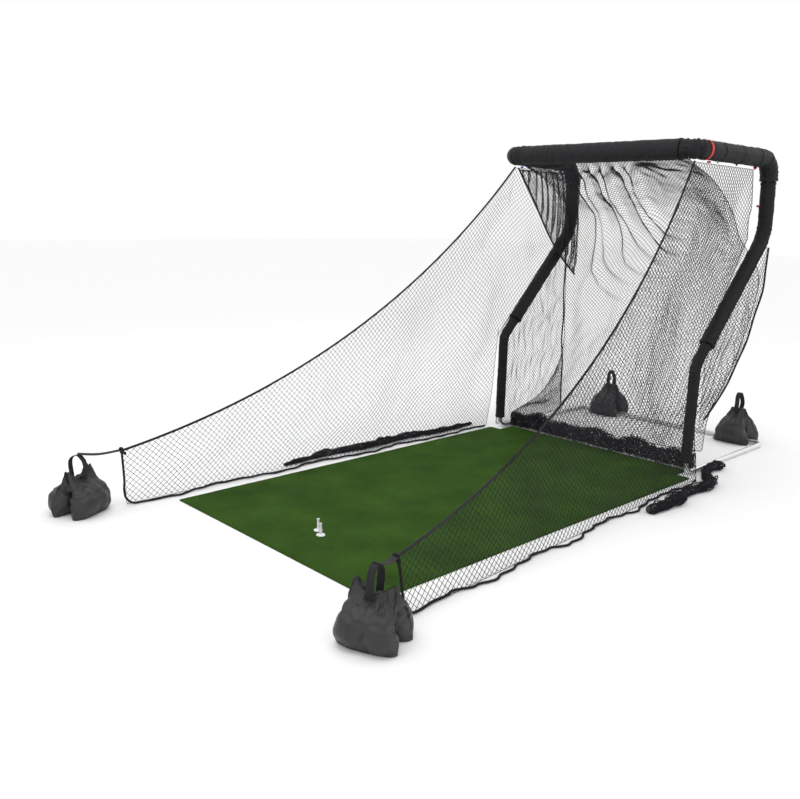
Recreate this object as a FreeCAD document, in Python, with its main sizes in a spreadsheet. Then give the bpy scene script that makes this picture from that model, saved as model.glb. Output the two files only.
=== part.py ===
"""Golf chipping net: a tube frame with padded sleeves, a hung rear net, two side barrier nets,
four saddle sandbags, a turf mat and two rubber tees.

Axes: X to the right as the player faces the net, Y towards the back of the net, Z up.
The origin is on the floor, midway between the two front feet.  All sizes are in millimetres.
"""
import FreeCAD, Part

import math
import os

from FreeCAD import Placement, Rotation, Vector

# ---------------------------------------------------------------- driving dimensions
SIZES = {
    # frame outline: centre lines of the tubes
    "frame_width": 1710, "crossbar_width": 1545, "base_depth": 1250, "base_corner_bend": 76,
    "foot_bend": 75, "kink_height": 792, "kink_bend": 160, "shoulder_depth": 845,
    "shoulder_height": 1672, "shoulder_bend": 260, "elbow_depth": 800, "elbow_height": 2209,
    "elbow_bend": 130, "corner_bend": 78, "crossbar_reach": 115, "crossbar_height": 2226,
    # tube and its joints
    "tube_diameter": 38, "tube_wall": 1.6, "spigot_gap": 0.1, "spigot_length": 75, "spigot_root": 30,
    "foot_joint": 200, "kink_joint": 190, "shoulder_joint": 320, "arm_joint": 230, "crossbar_joint": 180,
    # spring buttons
    "button_diameter": 8, "button_gap": 0.05, "button_proud": 4, "button_flange": 11,
    "button_flange_thick": 1.2, "button_seat": 1.5, "spring_width": 7, "spring_length": 40,
    "spring_thick": 0.6,
    # padding
    "crossbar_pad_diameter": 140, "arm_pad_diameter": 128, "upper_sleeve_diameter": 104,
    "leg_sleeve_diameter": 78, "pad_room": 1.5, "pad_gap": 2, "pad_overrun": 22, "sleeve_foot_gap": 35,
    # netting and ropes
    "net_thick": 4, "net_side_gap": 14, "net_rear_width": 1500, "lip_side_gap": 10,
    "rope_diameter": 16, "hem_gap": 1, "lip_height": 150, "bundle_radius_left": 40,
    "bundle_radius_right": 50, "bundle_gap": 76, "bundle_wander": 28,
    "barrier_foot_gap": 48, "barrier_end_right": 3017, "barrier_end_left": 3315,
    "barrier_low_right": 290, "barrier_low_left": 368, "barrier_sag_right": 318,
    "barrier_sag_left": 307, "flare_right": 0.053, "flare_left": 0.02, "lean": 0.0745,
    # mat and tees
    "mat_overhang": 59.5, "mat_length": 3100, "mat_thick": 10, "mat_tuck": 120, "foot_notch_gap": 8,
    "tee_disc": 50, "tee_disc_thick": 4, "tee_stem": 12, "tee_height": 70, "tee_spacing": 66,
    "tee_setback": 2660, "tee_offset": 80,
    # sandbags
    "bag_width": 290, "bag_height": 270, "pouch_thick": 135, "bag_slot_room": 6, "bag_corner": 30,
    "rear_bag_offset_right": 630, "rear_bag_offset_left": 590, "handle_width": 38,
    "handle_thick": 4, "tape_width": 20, "handle_rise": 130, "handle_span": 110,
}

document = FreeCAD.newDocument("golf_chipping_net")
sheet = document.addObject("Spreadsheet::Sheet", "sizes")
for row, (alias, value) in enumerate(SIZES.items(), start=1):
    sheet.set(f"A{row}", alias)
    sheet.set(f"B{row}", str(value))
    sheet.setAlias(f"B{row}", alias)
document.recompute()

size = {alias: float(sheet.get(alias)) for alias in SIZES}
finished = []
TUBE_RADIUS = size["tube_diameter"] / 2
BORE_RADIUS = TUBE_RADIUS - size["tube_wall"]
SPIGOT_RADIUS = BORE_RADIUS - size["spigot_gap"]
PAD_BORE = "sizes.tube_diameter / 2 + sizes.button_proud + sizes.pad_room"
BEND_SHARE = 0.45
LEFT, RIGHT = -1, 1
SIDES = (("left", LEFT), ("right", RIGHT))


# ---------------------------------------------------------------- small helpers
def bind(item, **expressions):
    """Tie properties of a document object to cells of the sheet."""
    for name, expression in expressions.items():
        item.setExpression(name, expression)
    return item


def finish(item, label):
    """Give a finished sub-part its name and put it on the list to write."""
    item.Label = label
    finished.append(item)
    return item


def frame_to(point, direction, side=None):
    """Placement whose local Z runs along direction, and local X near side."""
    axis = Vector(direction).normalize()
    across = side or (Vector(1, 0, 0) if abs(axis.x) < 0.9 else Vector(0, 1, 0))
    return Placement(Vector(point), Rotation(Vector(across), Vector(), axis, "ZXY"))


def toward(start, end, distance):
    """Point at a distance from start on the line to end."""
    return start + (end - start).normalize() * distance


def path_wire(points, radii):
    """Straight runs joined by tangent arcs, one radius for each inner point."""
    edges = []
    last = points[0]
    for index, radius in enumerate(radii, start=1):
        corner = points[index]
        back = (points[index - 1] - corner).normalize()
        ahead = (points[index + 1] - corner).normalize()
        half = back.getAngle(ahead) / 2
        reach = radius / math.tan(half)
        begin, end = corner + back * reach, corner + ahead * reach
        middle = corner + (back + ahead).normalize() * (radius / math.sin(half) - radius)
        if (begin - last).Length > 1e-6:
            edges.append(Part.LineSegment(last, begin).toShape())
        edges.append(Part.Arc(begin, middle, end).toShape())
        last = end
    edges.append(Part.LineSegment(last, points[-1]).toShape())
    return Part.Wire(edges)


def wide_radii(points):
    """For each inner point of a route, an arc nearly as large as its two runs allow."""
    radii = []
    for before, here, after in zip(points, points[1:], points[2:]):
        back, ahead = before - here, after - here
        turn = math.pi - back.getAngle(ahead)
        radii.append(BEND_SHARE * min(back.Length, ahead.Length) / math.tan(turn / 2))
    return radii


def rod(name, wire, radius):
    """A round solid swept along a wire; radius is an expression on the sheet."""
    route = document.addObject("Part::Feature", name + "_route")
    route.Shape = wire
    start = wire.OrderedVertexes[0].Point
    first = wire.OrderedEdges[0]
    at_start = first.valueAt(first.FirstParameter)
    backwards = (at_start - start).Length > 1e-3
    tangent = first.tangentAt(first.LastParameter if backwards else first.FirstParameter)
    ring = document.addObject("Part::Circle", name + "_section")
    bind(ring, Radius=radius)
    ring.Placement = frame_to(start, tangent)
    swept = document.addObject("Part::Sweep", name)
    swept.Sections = [ring]
    swept.Spine = (route, [])
    swept.Solid = True
    swept.Frenet = False
    return swept


def pipe(name, wire, outer, inner):
    """A hollow round solid along a wire."""
    return cut(name, rod(name + "_outer", wire, outer), rod(name + "_inner", wire, inner))


def cut(name, base, tool):
    result = document.addObject("Part::Cut", name)
    result.Base, result.Tool = base, tool
    return result


def fuse(name, items):
    result = document.addObject("Part::MultiFuse", name)
    result.Shapes = items
    return result


def cylinder(name, placement, radius, height):
    """A cylinder whose radius and height are expressions on the sheet."""
    item = document.addObject("Part::Cylinder", name)
    bind(item, Radius=radius, Height=height)
    item.Placement = placement
    return item


def box(name, corner, length, width, height):
    """A box from its lowest corner, with its three sizes as expressions on the sheet."""
    item = document.addObject("Part::Box", name)
    bind(item, Length=length, Width=width, Height=height)
    item.Placement = Placement(Vector(corner), Rotation())
    return item


def slab(name, wire, direction, thickness):
    """A flat outline given a thickness, half to each side."""
    outline = document.addObject("Part::Feature", name + "_outline")
    outline.Shape = Part.Face(wire)
    item = document.addObject("Part::Extrusion", name)
    item.Base = outline
    item.DirMode = "Custom"
    item.Dir = Vector(direction)
    item.Solid = True
    bind(item, LengthFwd=f"({thickness}) / 2", LengthRev=f"({thickness}) / 2")
    return item


def ribbon(name, wire, across, width, thickness):
    """A strap: a flat section of a given width and thickness swept along a planar wire."""
    first = wire.OrderedEdges[0]
    start = wire.OrderedVertexes[0].Point
    backwards = (first.valueAt(first.FirstParameter) - start).Length > 1e-3
    tangent = first.tangentAt(first.LastParameter if backwards else first.FirstParameter)
    side = Vector(across).normalize() * (width / 2)
    depth = tangent.cross(Vector(across)).normalize() * (thickness / 2)
    corners = [start + side + depth, start - side + depth, start - side - depth, start + side - depth]
    section = document.addObject("Part::Feature", name + "_section")
    section.Shape = Part.makePolygon(corners + corners[:1])
    route = document.addObject("Part::Feature", name + "_route")
    route.Shape = wire
    swept = document.addObject("Part::Sweep", name)
    swept.Sections = [section]
    swept.Spine = (route, [])
    swept.Solid = True
    swept.Frenet = False
    return swept


# ---------------------------------------------------------------- centre lines of the frame
def side_points(side):
    """The corners of one side frame's centre line, from the rear bar to the crossbar."""
    half = side * size["frame_width"] / 2
    front = side * size["crossbar_width"] / 2
    return {
        "rear_middle": Vector(0, size["base_depth"], TUBE_RADIUS),
        "rear_corner": Vector(half, size["base_depth"], TUBE_RADIUS),
        "foot": Vector(half, 0, TUBE_RADIUS),
        "kink": Vector(half, 0, size["kink_height"]),
        "shoulder": Vector(half, size["shoulder_depth"], size["shoulder_height"]),
        "elbow": Vector(half, size["elbow_depth"], size["elbow_height"]),
        "corner": Vector(front, -size["crossbar_reach"], size["crossbar_height"]),
        "bar_middle": Vector(0, -size["crossbar_reach"], size["crossbar_height"]),
    }


# A joint is where one tube's spigot enters the next tube: the point on the centre line, the
# direction in which the spigot points, and the direction in which its button points.
joints = {}
for word, side in SIDES:
    spot = side_points(side)
    outward = Vector(side, 0, 0)
    upward = Vector(0, 0, 1)
    joints["foot_" + word] = (toward(spot["foot"], spot["rear_corner"], size["foot_joint"]),
                              Vector(0, -1, 0), upward)
    joints["kink_" + word] = (toward(spot["kink"], spot["shoulder"], size["kink_joint"]),
                              (spot["kink"] - spot["shoulder"]).normalize(), outward)
    joints["shoulder_" + word] = (toward(spot["shoulder"], spot["kink"], size["shoulder_joint"]),
                                  (spot["shoulder"] - spot["kink"]).normalize(), outward)
    joints["arm_" + word] = (toward(spot["elbow"], spot["shoulder"], size["arm_joint"]),
                             (spot["shoulder"] - spot["elbow"]).normalize(), outward)
    joints["crossbar_" + word] = (toward(spot["corner"], spot["bar_middle"], size["crossbar_joint"]),
                                  Vector(-side, 0, 0), upward)
joints["rear"] = (side_points(LEFT)["rear_middle"], Vector(1, 0, 0), Vector(0, 0, 1))


def button_centre(joint):
    point, direction, _ = joints[joint]
    return point + direction * (size["spigot_length"] / 2)


def spigot(joint):
    """The swaged end that enters the next tube, with its root inside its own tube."""
    point, direction, _ = joints[joint]
    name = "spigot_" + joint
    place = frame_to(point, direction)
    root_place = frame_to(point - direction * size["spigot_root"], direction)
    bore_place = frame_to(point - direction * (size["spigot_root"] + 1), direction)
    bore = "sizes.tube_diameter / 2 - sizes.tube_wall"
    nose = cylinder(name + "_nose", place, bore + " - sizes.spigot_gap", "sizes.spigot_length")
    root = cylinder(name + "_root", root_place, bore + " + sizes.tube_wall / 8", "sizes.spigot_root")
    hole = cylinder(name + "_bore", bore_place, bore + " - sizes.spigot_gap - sizes.tube_wall",
                    "sizes.spigot_root + sizes.spigot_length + 2")
    return cut(name, fuse(name + "_solid", [nose, root]), hole)


def button_hole(joint, piece):
    """The round hole for a snap button, from the centre line outwards."""
    _, _, outward = joints[joint]
    return cylinder(f"hole_{joint}_{piece}", frame_to(button_centre(joint), outward),
                    "sizes.button_diameter / 2 + sizes.button_gap", "sizes.tube_diameter")


def frame_tube(label, points, radii, spigots=(), sockets=()):
    """A bent tube with spigots on its ends, drilled wherever a button passes through."""
    bore = "sizes.tube_diameter / 2 - sizes.tube_wall"
    body = pipe(label + "_tube", path_wire(points, radii), "sizes.tube_diameter / 2", bore)
    if spigots:
        body = fuse(label + "_with_spigots", [body] + [spigot(joint) for joint in spigots])
    holes = [button_hole(joint, label) for joint in tuple(spigots) + tuple(sockets)]
    tool = holes[0] if len(holes) == 1 else fuse(label + "_holes", holes)
    return finish(cut(label + "_drilled", body, tool), label)


def make_frame():
    for word, side in SIDES:
        spot = side_points(side)
        at = {name: joints[name][0] for name in joints}
        rear_spigot, rear_socket = (("rear",), ()) if side == LEFT else ((), ("rear",))
        frame_tube("base_tube_" + word, [at["foot_" + word], spot["rear_corner"], at["rear"]],
                   [size["base_corner_bend"]], ("foot_" + word,) + rear_spigot, rear_socket)
        frame_tube("leg_tube_" + word,
                   [at["foot_" + word], spot["foot"], spot["kink"], at["kink_" + word]],
                   [size["foot_bend"], size["kink_bend"]], (), ("foot_" + word, "kink_" + word))
        frame_tube("diagonal_tube_" + word, [at["kink_" + word], at["shoulder_" + word]], [],
                   ("kink_" + word, "shoulder_" + word))
        frame_tube("shoulder_tube_" + word,
                   [at["shoulder_" + word], spot["shoulder"], at["arm_" + word]],
                   [size["shoulder_bend"]], (), ("shoulder_" + word, "arm_" + word))
        frame_tube("arm_tube_" + word,
                   [at["arm_" + word], spot["elbow"], spot["corner"], at["crossbar_" + word]],
                   [size["elbow_bend"], size["corner_bend"]], ("arm_" + word, "crossbar_" + word))
    frame_tube("crossbar_tube", [joints["crossbar_left"][0], joints["crossbar_right"][0]], [],
               (), ("crossbar_left", "crossbar_right"))


def make_buttons():
    """A snap button in each joint, and the leaf spring that stands behind it."""
    springs = []
    seat = SPIGOT_RADIUS - size["tube_wall"] - size["button_seat"]
    for joint, (_, direction, outward) in joints.items():
        centre = button_centre(joint)
        name = "snap_button_" + joint
        low = centre + outward * (seat - size["button_flange_thick"])
        flange = cylinder(name + "_flange", frame_to(low, outward), "sizes.button_flange / 2",
                          "sizes.button_flange_thick")
        stem_start = centre + outward * seat
        tip_height = 1.6
        stem = cylinder(name + "_stem", frame_to(stem_start - outward * 0.2, outward),
                        "sizes.button_diameter / 2", "sizes.button_proud + sizes.tube_wall * 2"
                        f" + sizes.spigot_gap + sizes.button_seat + 0.2 - {tip_height}")
        tip = document.addObject("Part::Cone", name + "_tip")
        bind(tip, Radius1="sizes.button_diameter / 2", Radius2="sizes.button_diameter / 2 - 1.2")
        tip.Height = tip_height
        tip.Placement = frame_to(centre + outward * (TUBE_RADIUS + size["button_proud"] - tip_height),
                                 outward)
        finish(fuse(name, [flange, stem, tip]), name)
        springs.append(leaf_spring(joint, centre, direction, outward))
    compound = document.addObject("Part::Compound", "button_springs_set")
    compound.Links = springs
    finish(compound, "button_springs")


def leaf_spring(joint, centre, direction, outward):
    """A V of thin strip inside the spigot: one leaf on the far wall, one that rises to the button."""
    wall = SPIGOT_RADIUS - size["tube_wall"]
    floor = -math.sqrt(wall ** 2 - (size["spring_width"] / 2) ** 2) + size["spring_thick"]
    reach = size["spring_length"] / 2
    rise = 5.5 - size["spring_thick"]
    bend = centre - direction * (reach + 4) + outward * ((floor + rise) / 2 - 4)
    points = [centre + direction * reach + outward * floor, centre - direction * reach + outward * floor,
              bend, centre - direction * 4 + outward * rise, centre + direction * 5 + outward * rise]
    wire = path_wire(points, [3, 2, 3])
    across = direction.cross(outward)
    return ribbon("leaf_spring_" + joint, wire, across, size["spring_width"], size["spring_thick"])


# ---------------------------------------------------------------- padding
def pad(label, points, radii, diameter):
    item = pipe(label + "_sleeve", path_wire(points, radii), f"sizes.{diameter} / 2", PAD_BORE)
    return finish(item, label)


def make_padding():
    end_room = size["corner_bend"] + size["pad_overrun"]
    above_kink = size["kink_bend"] + size["pad_overrun"]
    below_elbow = size["elbow_bend"] + size["pad_overrun"]
    for word, side in SIDES:
        spot = side_points(side)
        low = Vector(spot["foot"].x, spot["foot"].y, size["sleeve_foot_gap"] + size["foot_bend"] - 10)
        pad("leg_sleeve_" + word, [low, spot["kink"], toward(spot["kink"], spot["shoulder"], above_kink)],
            [size["kink_bend"]], "leg_sleeve_diameter")
        pad("upper_sleeve_" + word,
            [toward(spot["kink"], spot["shoulder"], above_kink + size["pad_gap"]), spot["shoulder"],
             toward(spot["elbow"], spot["shoulder"], below_elbow + size["pad_gap"])],
            [size["shoulder_bend"]], "upper_sleeve_diameter")
        pad("arm_pad_" + word,
            [toward(spot["elbow"], spot["shoulder"], below_elbow), spot["elbow"], spot["corner"],
             toward(spot["corner"], spot["bar_middle"], end_room)],
            [size["elbow_bend"], size["corner_bend"]], "arm_pad_diameter")
    left, right = side_points(LEFT), side_points(RIGHT)
    room = end_room + size["pad_gap"]
    pad("crossbar_pad", [toward(left["corner"], left["bar_middle"], room),
                         toward(right["corner"], right["bar_middle"], room)], [],
        "crossbar_pad_diameter")


# ---------------------------------------------------------------- netting
def make_rear_net():
    """The big net, hung from the crossbar, bellied back and brought forward to the lip."""
    under_bar = size["crossbar_height"] - size["crossbar_pad_diameter"] / 2 - 10
    top = Vector(0, -size["crossbar_reach"] + 40, under_bar)
    drop = under_bar / 2150
    belly = size["shoulder_depth"]
    points = [top, Vector(0, 0.62 * belly, 1900 * drop), Vector(0, 0.97 * belly, 1400 * drop),
              Vector(0, 0.80 * belly, 650 * drop), Vector(0, size["mat_tuck"] + 60, 128)]
    sheet_width = size["net_rear_width"]
    hung = ribbon("rear_net_sheet", path_wire(points, [700, 900, 900]), Vector(1, 0, 0), sheet_width,
                  size["net_thick"])
    front, rear = net_width() / 2, sheet_width / 2 + 1
    near, far = -size["crossbar_reach"], size["elbow_depth"] * 0.9
    deep = size["base_depth"]
    plan = [Vector(-front, near, 0), Vector(front, near, 0), Vector(rear, far, 0), Vector(rear, deep, 0),
            Vector(-rear, deep, 0), Vector(-rear, far, 0)]
    floor_plan = document.addObject("Part::Feature", "net_plan")
    floor_plan.Shape = Part.Face(Part.makePolygon(plan + plan[:1]))
    room = document.addObject("Part::Extrusion", "net_room")
    room.Base, room.DirMode, room.Dir, room.Solid = floor_plan, "Custom", Vector(0, 0, 1), True
    bind(room, LengthFwd="sizes.crossbar_height")
    trimmed = document.addObject("Part::Common", "net_trimmed")
    trimmed.Base, trimmed.Tool = hung, room
    finish(trimmed, "rear_net")
    low = Vector(0, size["mat_tuck"] + 16, size["net_thick"] / 2 + 1)
    bend = Vector(0, size["mat_tuck"] + 30, size["net_thick"] / 2 + 1 + 0.35 * size["lip_height"])
    high = Vector(0, size["mat_tuck"] + 42, size["lip_height"])
    lip_wire = path_wire([low, bend, high], [60])
    lip_width = size["frame_width"] - size["leg_sleeve_diameter"] - 2 * size["lip_side_gap"]
    finish(ribbon("net_lip_band", lip_wire, Vector(1, 0, 0), lip_width, size["net_thick"]),
           "net_lip")


def net_width():
    """Room between the arm pads, where they stand closest."""
    return size["crossbar_width"] - size["arm_pad_diameter"] - 2 * size["net_side_gap"]


def barrier_x(side, y, z):
    """The barrier's leaning plane: it flares out to the front and leans in to the top."""
    flare = size["flare_right"] if side == RIGHT else size["flare_left"]
    base = size["frame_width"] / 2 + size["leg_sleeve_diameter"] / 2 + size["barrier_foot_gap"]
    return side * (base - flare * y - size["lean"] * z)


def on_barrier(side, y, z):
    return Vector(barrier_x(side, y, z), y, z)


def rope_ends(side):
    """Where a barrier's top rope starts under the front corner, and where it ends at its sandbag."""
    word = "right" if side == RIGHT else "left"
    start_back = 46 if side == RIGHT else -64
    start_y = -size["crossbar_reach"] - start_back
    start_z = size["crossbar_height"] - size["arm_pad_diameter"] / 2 - 16
    return (start_y, start_z), (-size["barrier_end_" + word], size["barrier_low_" + word])


def rope_arc(side, inset):
    """The three points of the top rope's arc, moved in from the rope by inset."""
    (top_y, top_z), (end_y, end_z) = rope_ends(side)
    chord = math.hypot(end_y - top_y, end_z - top_z)
    down = Vector(0, -(end_z - top_z), end_y - top_y) * (1 / chord)
    word = "right" if side == RIGHT else "left"
    sag = size["barrier_sag_" + word] + inset
    shift = down * inset
    middle = Vector(0, (top_y + end_y) / 2, (top_z + end_z) / 2) + down * sag
    start = Vector(0, top_y, top_z) + shift
    end = Vector(0, end_y, end_z) + shift
    return [on_barrier(side, spot.y, spot.z) for spot in (start, middle, end)]


def make_barriers():
    rope = size["rope_diameter"]
    inset = rope / 2 + size["hem_gap"]
    for word, side in SIDES:
        start, middle, end = rope_arc(side, inset)
        floor = rope + size["hem_gap"] + 1
        behind = -size["leg_sleeve_diameter"] / 2 - 6
        sleeve = size["upper_sleeve_diameter"] / 2 + 8
        slope = Vector(0, size["shoulder_depth"], size["shoulder_height"] - size["kink_height"])
        slope.normalize()
        off = Vector(0, -slope.z, slope.y) * sleeve
        low = Vector(0, 0, size["kink_height"]) + off
        high = Vector(0, size["shoulder_depth"], size["shoulder_height"]) + off
        rise = (high.z - low.z) / (high.y - low.y)
        cross_y = behind
        cross_z = low.z + (cross_y - low.y) * rise
        back_y = size["elbow_depth"] - sleeve - 6
        back_z = low.z + (back_y - low.y) * rise
        tie_z = start.z
        front_y = end.y + 40
        corners = [(front_y, floor), (behind, floor), (cross_y, cross_z), (back_y, back_z),
                   (back_y, tie_z)]
        outline = [on_barrier(side, y, z) for y, z in corners]
        edges = [Part.LineSegment(a, b).toShape() for a, b in zip(outline, outline[1:])]
        edges.append(Part.LineSegment(outline[-1], start).toShape())
        edges.append(Part.Arc(start, middle, end).toShape())
        edges.append(Part.LineSegment(end, outline[0]).toShape())
        face_normal = (outline[1] - outline[0]).cross(outline[4] - outline[1]).normalize()
        finish(slab("barrier_sheet_" + word, Part.Wire(edges), face_normal, "sizes.net_thick"),
               "barrier_net_" + word)
        rope_points = rope_arc(side, 0)
        top_wire = Part.Wire([Part.Arc(*rope_points).toShape()])
        finish(rod("barrier_top_rope_" + word, top_wire, "sizes.rope_diameter / 2"),
               "barrier_rope_" + word)
        make_border_rope(word, side, rope_points[-1], front_y)


def make_border_rope(word, side, knot, front_y):
    """The rope down the barrier's front edge and back along the floor to the foot."""
    rest = size["rope_diameter"] / 2 + 0.5
    clear = size["rope_diameter"] + size["hem_gap"]
    wander = [-14, 16, -10, 18, -16, 12, -12, 10]
    span = -front_y - 120
    points = [knot + Vector(side * 16, 6, -clear * 1.8),
              Vector(knot.x + side * 24, front_y - 22, 0.5 * knot.z),
              Vector(barrier_x(side, front_y, 0) + side * 18, front_y - 12, 0.2 * knot.z),
              Vector(barrier_x(side, front_y, 0) + side * 22, front_y + 50, rest)]
    for index, offset in enumerate(wander):
        y = front_y + 120 + (span - 60) * (index + 0.5) / len(wander)
        points.append(Vector(barrier_x(side, y, 0) + side * (26 + offset), y, rest))
    points.append(Vector(barrier_x(side, -60, 0) + side * 26, -60, rest))
    finish(rod("border_rope_run_" + word, path_wire(points, wide_radii(points)),
               "sizes.rope_diameter / 2"),
           "border_rope_" + word)


def panel(label, x, corners):
    """A flat net panel that stands in a plane across X."""
    outline = [Vector(x, y, z) for y, z in corners]
    wire = Part.makePolygon(outline + outline[:1])
    return finish(slab(label + "_sheet", wire, Vector(1, 0, 0), "sizes.net_thick"), label)


def hanging_rope(label, x, corners):
    points = [Vector(x, y, z) for y, z in corners]
    route = path_wire(points, wide_radii(points))
    return finish(rod(label + "_run", route, "sizes.rope_diameter / 2"), label)


def make_side_nets():
    """The netting behind the diagonals, with the rope that hems its hanging rear edge."""
    plane = size["frame_width"] / 2 + size["upper_sleeve_diameter"] / 2 + 6
    deep, tall = size["shoulder_depth"], size["shoulder_height"]
    kink = size["kink_height"]
    hem = size["rope_diameter"] + size["hem_gap"] + 9
    right_rope = [(0.95 * deep, 0.95 * tall), (0.955 * deep, 0.86 * tall), (0.93 * deep, 0.76 * tall),
                  (0.84 * deep, 0.66 * tall), (0.73 * deep, 0.55 * tall), (0.60 * deep, 0.46 * tall),
                  (0.45 * deep, 0.375 * tall), (0.28 * deep, 0.30 * tall), (0.10 * deep, 0.245 * tall)]
    left_rope = [(0.99 * deep, 0.95 * tall), (1.045 * deep, 0.82 * tall), (1.03 * deep, 0.68 * tall),
                 (1.07 * deep, 0.54 * tall), (1.05 * deep, 0.41 * tall), (1.10 * deep, 0.28 * tall),
                 (1.09 * deep, 0.16 * tall), (1.12 * deep, 0.05 * tall)]
    hanging_rope("rear_rope_right", plane, right_rope)
    hanging_rope("rear_rope_left", -plane, left_rope)
    diagonal = [(0.10 * deep, kink + 0.05 * (tall - kink)), (0.90 * deep, kink + 0.86 * (tall - kink))]
    right_edge = [(y - hem, z) for y, z in right_rope[1:]]
    left_edge = [(y - hem, z) for y, z in left_rope[1:]]
    panel("side_net_right", plane, diagonal + right_edge + [(0.06 * deep, 0.27 * tall)])
    panel("side_net_left", -plane, diagonal + left_edge + [(0.05 * deep, 0.05 * tall)])


def make_gathered_net():
    """The pleated panel that hangs inside the left arm, and the rope along its slanting edge."""
    plane = -(size["net_rear_width"] / 2 + 10)
    deep, tall = size["shoulder_depth"], size["shoulder_height"]
    under = size["crossbar_height"] - size["arm_pad_diameter"] / 2 - 24
    rope = [(-40, under), (0.24 * deep, 0.87 * under), (0.47 * deep, 0.76 * under),
            (0.69 * deep, 0.675 * under), (0.95 * deep, 0.60 * under)]
    hem = size["rope_diameter"] + size["hem_gap"] + 4
    edge = [(y + hem, z + 4) for y, z in rope]
    panel("gathered_net_left", plane, [(0.90 * deep, under), (0.96 * deep, 1.01 * tall)] + edge[::-1])
    hanging_rope("gather_rope_left", plane, rope)


def make_bundles():
    """Netting heaped on the floor where the barriers are too long for the frame."""
    heaps = (("left", LEFT, -2050, -110, 6), ("right", RIGHT, -900, 400, 6))
    beside_tube = (size["frame_width"] + size["tube_diameter"]) / 2 + 12
    for word, side, start, end, count in heaps:
        radius = size["bundle_radius_" + word]
        points = []
        for index in range(count):
            y = start + (end - start) * index / (count - 1)
            wander = size["bundle_wander"] * (index % 2)
            x = barrier_x(side, y, 0) + side * (size["bundle_gap"] + radius + wander)
            if y > 0:
                x = side * (beside_tube + radius)
            points.append(Vector(x, y, radius + 2))
        finish(rod("bundle_" + word, path_wire(points, wide_radii(points)),
                   "sizes.bundle_radius_" + word), "net_bundle_" + word)


# ---------------------------------------------------------------- mat and tees
def make_mat():
    width = size["frame_width"] + 2 * size["mat_overhang"]
    length, tuck = size["mat_length"], size["mat_tuck"]
    turf = box("turf_sheet", Vector(-width / 2, tuck - length, 0),
               "sizes.frame_width + 2 * sizes.mat_overhang", "sizes.mat_length", "sizes.mat_thick")
    reach = width / 2 - size["frame_width"] / 2 + size["leg_sleeve_diameter"] / 2 + size["foot_notch_gap"]
    depth = tuck + size["leg_sleeve_diameter"] / 2 + size["foot_notch_gap"]
    notches = []
    for word, side in SIDES:
        corner_x = width / 2 - reach if side == RIGHT else -width / 2 - 1
        notch = document.addObject("Part::Box", "mat_notch_" + word)
        notch.Length, notch.Width = reach + 1, depth + 1
        bind(notch, Height="sizes.mat_thick + 2")
        notch.Placement = Placement(Vector(corner_x, tuck - depth, -1), Rotation())
        notches.append(notch)
    finish(cut("mat_cut", turf, fuse("mat_notches", notches)), "turf_mat")


def make_tees():
    for index, word in enumerate(("left", "right")):
        x = size["tee_offset"] + (index - 0.5) * size["tee_spacing"]
        y = -size["tee_setback"] + (0.5 - index) * 0.5 * size["tee_spacing"]
        at = Vector(x, y, size["mat_thick"])
        name = "tee_" + word
        disc = cylinder(name + "_disc", frame_to(at, Vector(0, 0, 1)), "sizes.tee_disc / 2",
                        "sizes.tee_disc_thick")
        stem = document.addObject("Part::Cone", name + "_stem")
        bind(stem, Radius1="sizes.tee_stem / 2 + 2", Radius2="sizes.tee_stem / 2",
             Height="sizes.tee_height - 8")
        stem.Placement = frame_to(at, Vector(0, 0, 1))
        cup = document.addObject("Part::Cone", name + "_cup")
        bind(cup, Radius1="sizes.tee_stem / 2", Radius2="sizes.tee_stem / 2 + 3")
        cup.Height = 8
        cup.Placement = frame_to(at + Vector(0, 0, size["tee_height"] - 8), Vector(0, 0, 1))
        bore = cylinder(name + "_bore", frame_to(at + Vector(0, 0, size["tee_height"] - 25),
                                                 Vector(0, 0, 1)),
                        "sizes.tee_stem / 2 - 2", "30")
        finish(cut(name + "_hollow", fuse(name + "_solid", [disc, stem, cup]), bore), name)


# ---------------------------------------------------------------- sandbags
def sandbag(word, place, slot_width, slot_height):
    """Two pouches joined at the top like a saddle, with a webbing loop on top."""
    label = "sandbag_" + word
    width, tall = size["bag_width"], size["bag_height"]
    corner = size["bag_corner"]
    outer_depth = slot_width + 2 * size["pouch_thick"]
    half = outer_depth / 2
    top = 0.26 * outer_depth
    profile = [Vector(0, -half, 0), Vector(0, half, 0), Vector(0, half, 0.35 * tall), Vector(0, top, tall),
               Vector(0, -top, tall), Vector(0, -half, 0.35 * tall)]
    block = document.addObject("Part::Feature", label + "_profile")
    block.Shape = Part.Face(Part.makePolygon(profile + profile[:1]))
    solid = document.addObject("Part::Extrusion", label + "_block")
    solid.Base, solid.DirMode, solid.Dir, solid.Solid = block, "Custom", Vector(1, 0, 0), True
    bind(solid, LengthFwd="sizes.bag_width / 2", LengthRev="sizes.bag_width / 2")
    slot = document.addObject("Part::Box", label + "_slot")
    slot.Length, slot.Width, slot.Height = width + 2, slot_width, slot_height + 1
    slot.Placement = Placement(Vector(-width / 2 - 1, -slot_width / 2, -1), Rotation())
    saddle = cut(label + "_saddle", solid, slot)
    document.recompute()
    round_edges = []
    for index, edge in enumerate(saddle.Shape.Edges, start=1):
        box_of = edge.BoundBox
        at_end = abs(abs(box_of.Center.x) - width / 2) < 1e-3
        outside = abs(box_of.Center.y) > slot_width / 2 + 5
        if at_end and outside and box_of.ZMin > 1:
            round_edges.append((index, corner, corner))
    rounded = document.addObject("Part::Fillet", label + "_rounded")
    rounded.Base = saddle
    rounded.Edges = round_edges
    rounded.Placement = place
    finish(rounded, label)


def handle(word, points, across):
    strap = ribbon("handle_strap_" + word, path_wire(points, wide_radii(points)), across,
                   size["handle_width"], size["handle_thick"])
    finish(strap, "sandbag_handle_" + word)


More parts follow.
